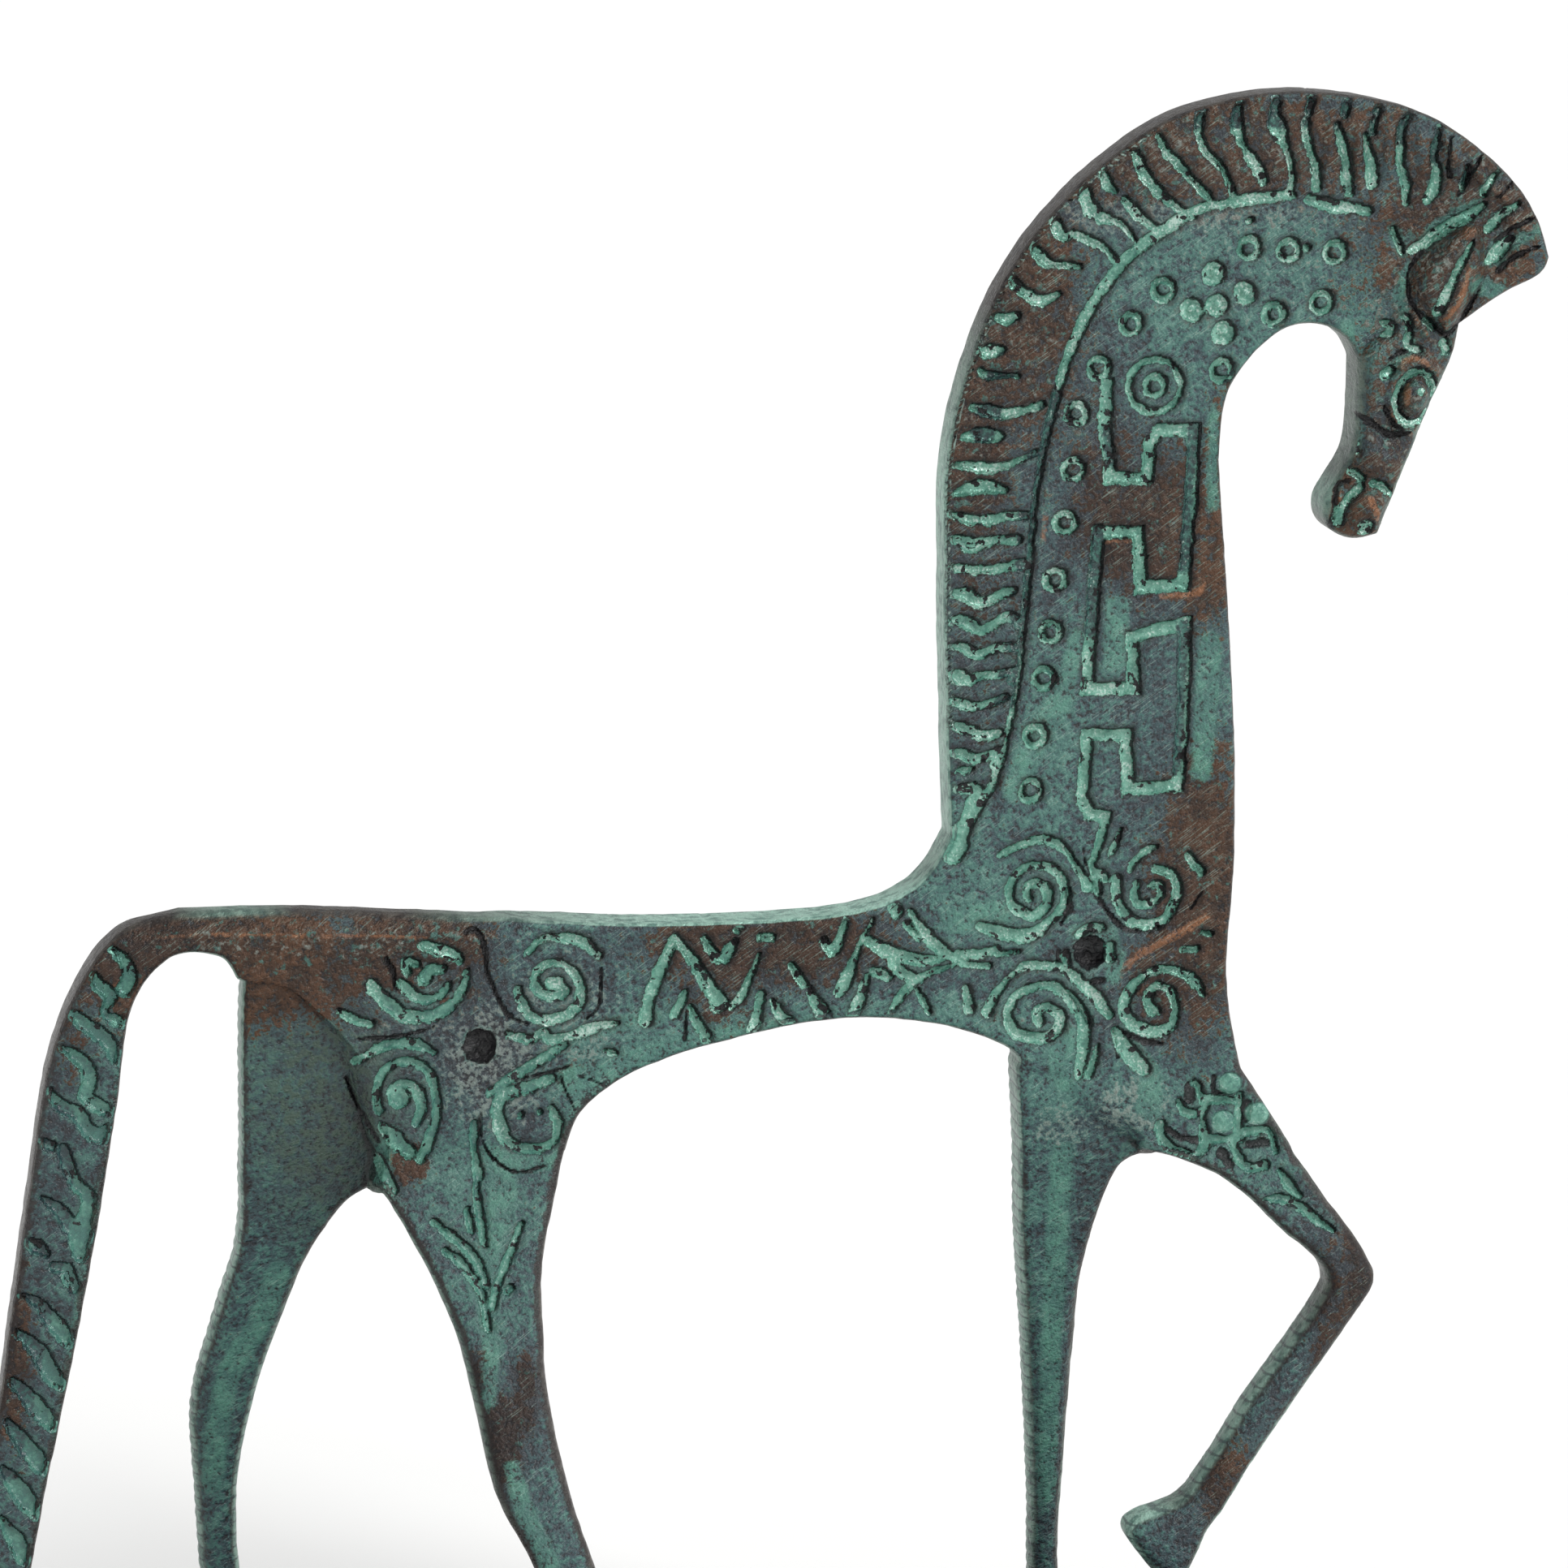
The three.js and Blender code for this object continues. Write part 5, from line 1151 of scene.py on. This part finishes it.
class Nodes:
    """Short calls for building one material's nodes."""

    def __init__(self, name):
        self.material = bpy.data.materials.new(name)
        self.material.use_nodes = True
        self.tree = self.material.node_tree
        self.shader = self.tree.nodes["Principled BSDF"]
        coordinates = self.add("ShaderNodeTexCoord")
        self.place, self.facing = coordinates.outputs["Object"], coordinates.outputs["Normal"]

    def add(self, kind, **settings):
        node = self.tree.nodes.new(kind)
        for key, value in settings.items():
            setattr(node, key, value)
        return node

    def feed(self, socket, value):
        if isinstance(value, bpy.types.NodeSocket):
            self.tree.links.new(value, socket)
        else:
            socket.default_value = value

    def mark(self, name):
        return self.add("ShaderNodeAttribute", attribute_name=name).outputs["Fac"]

    def along(self, vector, axis):
        """One coordinate of a vector."""
        node = self.add("ShaderNodeSeparateXYZ")
        self.feed(node.inputs[0], vector)
        return node.outputs[axis]

    def stretched(self, scale, turn=0.0):
        """Object coordinates in millimetres, turned in the side view, then scaled on each axis."""
        turned = self.add("ShaderNodeMapping", vector_type="TEXTURE")
        self.feed(turned.inputs["Vector"], self.place)
        turned.inputs["Rotation"].default_value = (0, math.radians(turn), 0)
        turned.inputs["Scale"].default_value = [MM * size for size in scale]
        return turned.outputs[0]

    def noise(self, size, detail=3.0, turn=0.0):
        """Noise from 0 to 1 whose features are about this many millimetres, on each axis."""
        sizes = size if isinstance(size, (list, tuple)) else (size,) * 3
        node = self.add("ShaderNodeTexNoise")
        node.inputs["Scale"].default_value = 1.0
        node.inputs["Detail"].default_value = detail
        node.inputs["Roughness"].default_value = NOISE_ROUGHNESS
        self.feed(node.inputs["Vector"], self.stretched(sizes, turn))
        return node.outputs["Fac"]

    def math(self, operation, one, two=0.0):
        node = self.add("ShaderNodeMath", operation=operation)
        self.feed(node.inputs[0], one)
        self.feed(node.inputs[1], two)
        return node.outputs[0]

    def total(self, *shares):
        """The sum of values, each times its share."""
        result = self.math("MULTIPLY", *shares[0])
        for value, share in shares[1:]:
            result = self.math("ADD", result, self.math("MULTIPLY", value, share))
        return result

    def ramp(self, value, low, high, to_low=0.0, to_high=1.0):
        """A smooth step from one level to another as a value goes from low to high."""
        node = self.add("ShaderNodeMapRange", interpolation_type="SMOOTHSTEP")
        for socket, number in zip(node.inputs, (value, low, high, to_low, to_high)):
            self.feed(socket, number)
        return node.outputs[0]

    def mix(self, amount, under, over):
        node = self.add("ShaderNodeMix", data_type="RGBA")
        self.feed(node.inputs["Factor"], amount)
        self.feed(node.inputs["A"], under)
        self.feed(node.inputs["B"], over)
        return node.outputs["Result"]

    def tint(self, under, over, amount, share):
        """One colour laid over another by an amount times a share."""
        return self.mix(self.math("MULTIPLY", amount, share), under, over)

    def cover(self, under, over, shares, low, high, most=1.0):
        """One colour laid over another as a sum of values goes from low to high."""
        return self.mix(self.ramp(self.total(*shares), low, high, 0, most), under, over)

    def bump(self, height, distance):
        node = self.add("ShaderNodeBump")
        self.feed(node.inputs["Height"], height)
        node.inputs["Distance"].default_value = distance * MM
        return node.outputs[0]


class BronzeNodes(Nodes):
    """The noises and marks that the layers of the horse's bronze share."""

    def __init__(self, name):
        super().__init__(name)
        self.patch, self.grain, self.crumb = self.noise(3.2), self.noise(0.75, 4), self.noise(1.5, 4)
        self.speck = self.noise(0.4, 3)
        steep, level = self.noise((3.4, 3.4, 0.25), 2, turn=-50), self.noise((4.0, 4.0, 0.25), 2, turn=-12)
        self.hatch = self.total((steep, 0.5), (level, 0.5))
        self.dark, self.pale, self.soft, self.olive = map(self.mark, ("dark", "pale", "soft", "olive"))
        self.hump, self.inset = self.mark("hump"), self.mark("inset")
        self.raised = self.total((self.hump, 2.2), (self.hatch, 0.7), (self.crumb, 0.9))
        self.strip = self.edge_strip()

    def edge_strip(self):
        """1 on the strip around the plate's edge, and 0 on its two faces."""
        across = self.math("ABSOLUTE", self.along(self.facing, "Y"))
        return self.math("MULTIPLY", self.ramp(across, 0.8, 0.5), self.ramp(self.inset, 1.5, 0.8))


def colour(red, green, blue):
    """A colour from its 0 to 255 screen values."""
    linear = [((c / 255 + 0.055) / 1.055) ** 2.4 if c > 10 else c / 255 / 12.92 for c in (red, green, blue)]
    return (*linear, 1)


VERDIGRIS = colour(80, 132, 116)
PALE_GREEN = colour(116, 166, 148)
CRUST = colour(188, 210, 200)
DUST = colour(124, 133, 127)
LIGHT_TEAL = colour(84, 126, 115)
TEAL = colour(62, 104, 97)
GREY_TEAL = colour(48, 72, 76)
SLATE = colour(36, 46, 53)
OLIVE = colour(58, 74, 63)
RIM_GREEN = colour(156, 196, 180)
SCRATCH = colour(140, 164, 154)
DARK = colour(22, 21, 23)
DARK_BROWN = colour(36, 28, 26)
BROWN = colour(54, 38, 27)
BRONZE = colour(80, 54, 36)
COPPER = colour(136, 92, 62)
GREY_BROWN = colour(78, 74, 68)
PAPER = colour(250, 250, 249)
LIGHT_PAPER = colour(252, 252, 251)


def patina_colour(n):
    """Slate, then teal, then light teal as the patina gets thicker, and olive in its zones."""
    mottle = n.total((n.noise(11), 0.6), (n.patch, 0.8), (n.grain, 1.1), (n.crumb, 1.1), (n.hatch, 0.5),
                     (n.mark("light"), 0.28), (n.dark, -0.34))
    patina = SLATE
    for low, high, thicker in ((1.68, 1.98, GREY_TEAL), (1.98, 2.26, TEAL), (2.26, 2.6, LIGHT_TEAL)):
        patina = n.mix(n.ramp(mottle, low, high), patina, thicker)
    patina = n.mix(n.ramp(n.raised, 1.15, 1.9, 0, 0.6), patina, LIGHT_TEAL)
    return n.tint(patina, OLIVE, n.olive, n.ramp(n.crumb, 0.42, 0.58, 0.2, 0.9))


def metal_colour(n):
    """Bare bronze, greyer in streaks, darker in its zones, copper on high spots, with teal specks."""
    metal = n.cover(BROWN, BRONZE, [(n.patch, 1), (n.crumb, 1)], 0.85, 1.15)
    metal = n.cover(metal, GREY_BROWN, [(n.hatch, 1), (n.crumb, 0.6)], 0.84, 1.08, 0.7)
    metal = n.tint(metal, DARK_BROWN, n.dark, 0.85)
    metal = n.mix(n.ramp(n.raised, 1.5, 2.4, 0, 0.6), metal, COPPER)
    return n.cover(metal, TEAL, [(n.noise(1.1, 4), 1), (n.noise(5), 0.35), (n.pale, 0.12)], 0.78, 0.9, 0.75)


def bronze_ground(n):
    """Patina and bare metal, then dust, washes and copper lines, and how bare each place is."""
    bare = n.total((n.mark("bare"), 1), (n.patch, 0.8), (n.crumb, 1.4), (n.grain, 1.1), (n.noise(7), 0.6))
    bareness = n.ramp(bare, 2.4, 2.65)
    ground = n.mix(bareness, patina_colour(n), metal_colour(n))
    ground = n.cover(ground, DUST, [(n.pale, 0.7), (n.grain, 1.3), (n.crumb, 0.9)], 1.5, 1.85, 0.7)
    wash = n.cover(TEAL, VERDIGRIS, [(n.patch, 1), (n.grain, 0.8)], 0.75, 1.1)
    ground = n.cover(ground, wash, [(n.mark("wash"), 1), (n.crumb, 1.8), (n.grain, 1.4)], 2.0, 1.2, 0.9)
    ground = n.cover(ground, COPPER, [(n.mark("copper"), 1), (n.crumb, 1), (n.grain, 0.8)], 1.1, 0.6, 0.75)
    # Darker in the soft zones, on the tail and the legs
    return n.tint(ground, DARK, n.soft, 0.22), bareness


def weathered_and_shaded(n, body):
    """Scratches, dark pits, painted shade with dark dirt in the hollows, and crusted edges."""
    edge = n.math("MULTIPLY", n.ramp(n.inset, 2.4, 0.3), n.mark("crust"))
    scratch = [(n.noise((3.2, 3.2, 0.13), 2, turn=-35), 1), (n.patch, 0.3), (n.olive, -0.3), (n.soft, -0.05)]
    body = n.cover(body, SCRATCH, scratch, 0.73, 0.88, 0.45)
    pitted = [(n.grain, 1), (n.speck, 0.7), (n.patch, 0.3), (n.dark, -0.08), (edge, -0.2)]
    body = n.cover(body, DARK, pitted, 0.9, 0.76, 0.85)
    # Painted shade, with dark dirt, where the surface lies below its surroundings
    hollow_shade = [(n.hump, -2.6), (n.grain, 0.8), (n.crumb, 0.6), (n.olive, -0.2)]
    body = n.cover(body, DARK, hollow_shade, 1.0, 1.7, 0.85)
    return n.cover(body, DARK_BROWN, [(edge, 1), (n.noise(1.8, 4), 1.3), (n.patch, 0.5)], 1.3, 1.65, 0.85)


def file_ticks(n):
    """0 in the small notches along the far legs' edges, and 1 between them and above the legs."""
    height = n.along(n.place, "Z")
    turn = math.pi / (SCALLOP_PITCH * MM)
    phase = n.math("ADD", n.math("MULTIPLY", height, turn), -PLINTH_TOP * MM * turn)
    wave = n.math("ABSOLUTE", n.math("SINE", phase))
    above = n.ramp(height, *[(end + PLINTH_TOP) * MM for end in TICKS_END])
    return n.ramp(n.total((wave, 1), (n.crumb, 0.5), (above, 1)), 0.3, 0.75)


def strip_colour(n, body):
    """The plate's edge: dark crust, or pale green with ticks across it where it shows light."""
    dark = n.cover(DARK_BROWN, GREY_BROWN, [(n.crumb, 1), (n.patch, 0.6)], 0.65, 1.0)
    body = n.tint(body, dark, n.strip, n.ramp(n.grain, 0.3, 0.6, 0.6, 0.95))
    pale = n.cover(LIGHT_TEAL, RIM_GREEN, [(n.crumb, 1), (n.patch, 0.5)], 0.55, 0.85)
    pale = n.mix(n.ramp(file_ticks(n), 1, 0, 0, 0.75), pale, GREY_TEAL)
    return n.tint(body, pale, n.strip, n.mark("rim"))


def outlined_and_shaded(n, body):
    """Painted shade and dark residue in and around the grooves, dark cracks, and light nicks on the mane."""
    groove = n.total((n.mark("groove"), 1), (n.strip, 3))
    # Painted shade on the ground around each groove, with dark patina
    shade_halo = [(groove, -0.55), (n.grain, 1.4), (n.patch, 1), (n.soft, -0.25)]
    body = n.cover(body, DARK, shade_halo, 0.75, 1.4, 0.8)
    # The groove walls: partly painted shade, partly dark residue
    body = n.cover(body, DARK, [(groove, 1), (n.speck, 0.5), (n.grain, 0.5), (n.soft, 0.2)], 0.62, 0.42, 0.9)
    body = n.cover(body, DARK, [(n.mark("crack"), 1), (n.speck, 0.5), (n.grain, 0.3)], 0.62, 0.3, 0.92)
    return n.cover(body, SCRATCH, [(n.mark("nick"), 1), (n.strip, 3)], 0.12, 0, 0.8)


def fill_share(n):
    """1 where the green fill lies, ragged and with gaps, leaving painted shade on each groove's upper right.
    """
    gone = n.ramp(n.total((n.noise(2.1, 4), 1), (n.dark, -0.07)), 0.4, 0.36, 0, 0.8)
    edge = n.total((n.mark("fill"), 1), (n.speck, 0.7), (n.grain, 0.7), (gone, 1), (n.strip, 3))
    return n.math("MAXIMUM", n.ramp(edge, 0.72, 0.5), n.ramp(n.mark("painted"), 0.5, 0.8))


def fill_colour(n):
    """The verdigris in the grooves, worn darker and lighter in places, and crusted."""
    worn = n.total((n.grain, 0.8), (n.patch, 0.8), (n.soft, -0.25))
    green = n.mix(n.ramp(worn, 0.6, 0.95), VERDIGRIS, PALE_GREEN)
    green = n.mix(n.ramp(worn, 0.66, 0.5, 0, 0.75), green, TEAL)
    faded = n.ramp(n.total((n.mark("fade"), 1), (n.grain, 1.2), (n.speck, 0.6)), 1.3, 0.6, 0, 0.9)
    green = n.mix(faded, green, n.mix(n.ramp(n.grain, 0.42, 0.62), SLATE, TEAL))
    crusted = [(n.speck, 1), (n.patch, 0.7), (n.soft, -0.2), (faded, -0.1), (n.pale, 0.14)]
    green = n.cover(green, CRUST, crusted, 0.9, 1.1, 0.8)
    return n.tint(green, GREY_TEAL, n.soft, 0.25)


def bronze_material():
    n = BronzeNodes("patinated_bronze")
    ground, bareness = bronze_ground(n)
    body = outlined_and_shaded(n, strip_colour(n, weathered_and_shaded(n, ground)))
    filled = fill_share(n)
    n.feed(n.shader.inputs["Base Color"], n.mix(filled, body, fill_colour(n)))
    n.feed(n.shader.inputs["Metallic"], n.math("MULTIPLY", bareness, 0.4))
    rough = n.ramp(n.grain, 0.3, 0.75, 0.28, 0.5)
    n.feed(n.shader.inputs["Roughness"], n.math("SUBTRACT", rough, n.math("MULTIPLY", filled, 0.14)))
    height = n.total((n.hatch, 0.8), (n.grain, 1.4), (n.speck, 0.6), (n.patch, 1.5))
    height = n.math("MULTIPLY", height, n.ramp(filled, 0, 1, 1, 0.5))
    n.feed(n.shader.inputs["Normal"], n.bump(height, 0.3))
    return n.material


def plinth_material():
    n = Nodes("plinth_bronze")
    cloud, patch, speck = n.noise(30), n.noise(6), n.noise(0.8, 4)
    metal = n.mix(n.ramp(patch, 0.35, 0.7), DARK, BROWN)
    n.feed(n.shader.inputs["Base Color"], n.cover(metal, GREY_TEAL, [(cloud, 1), (speck, 0.5)], 0.75, 0.95))
    n.feed(n.shader.inputs["Roughness"], n.ramp(speck, 0.3, 0.8, 0.35, 0.6))
    n.shader.inputs["Metallic"].default_value = 0.35
    n.feed(n.shader.inputs["Normal"], n.bump(speck, 0.15))
    return n.material


def dress_plinth():
    material = plinth_material()
    node = frame["nodes"]["plinth"]
    for piece in [node, *node.children_recursive]:
        for slot in piece.material_slots:
            slot.material = material


def aim(thing, place, target):
    thing.location = Vector(place) * MM
    thing.rotation_euler = (Vector(target) - Vector(place)).to_track_quat("-Z", "Y").to_euler()


def make_camera():
    camera = add_object("camera", bpy.data.cameras.new("camera"))
    camera.data.lens = CAMERA_LENS
    camera.data.sensor_width = SENSOR_WIDTH
    camera.data.clip_end = SIGHT
    aim(camera, CAMERA_PLACE, CAMERA_TARGET)
    bpy.context.scene.camera = camera


def make_sun():
    light = add_object("key", bpy.data.lights.new("key", "SUN"))
    light.data.energy = SUN_ENERGY
    light.data.angle = math.radians(SUN_DEGREES)
    aim(light, TO_SUN, (0, 0, 0))


def make_stage():
    reach = FLOOR_REACH
    mesh = bpy.data.meshes.new("floor")
    corners = [(-reach, -reach, 0), (reach, -reach, 0), (reach, reach, 0), (-reach, reach, 0)]
    mesh.from_pydata(corners, [], [(0, 1, 2, 3)])
    floor = add_object("floor", mesh)
    n = Nodes("floor_paper")
    n.feed(n.shader.inputs["Base Color"], n.mix(n.noise(60), PAPER, LIGHT_PAPER))
    n.shader.inputs["Roughness"].default_value = 0.8
    mesh.materials.append(n.material)


def make_sky():
    world = bpy.data.worlds.new("studio")
    bpy.context.scene.world = world
    world.use_nodes = True
    background = world.node_tree.nodes["Background"]
    background.inputs["Color"].default_value = (1, 1, 1, 1)
    background.inputs["Strength"].default_value = SKY_STRENGTH
    bpy.context.scene.view_settings.view_transform = "Standard"


make_camera()
make_sun()
make_stage()
make_sky()
make_horse()
dress_plinth()
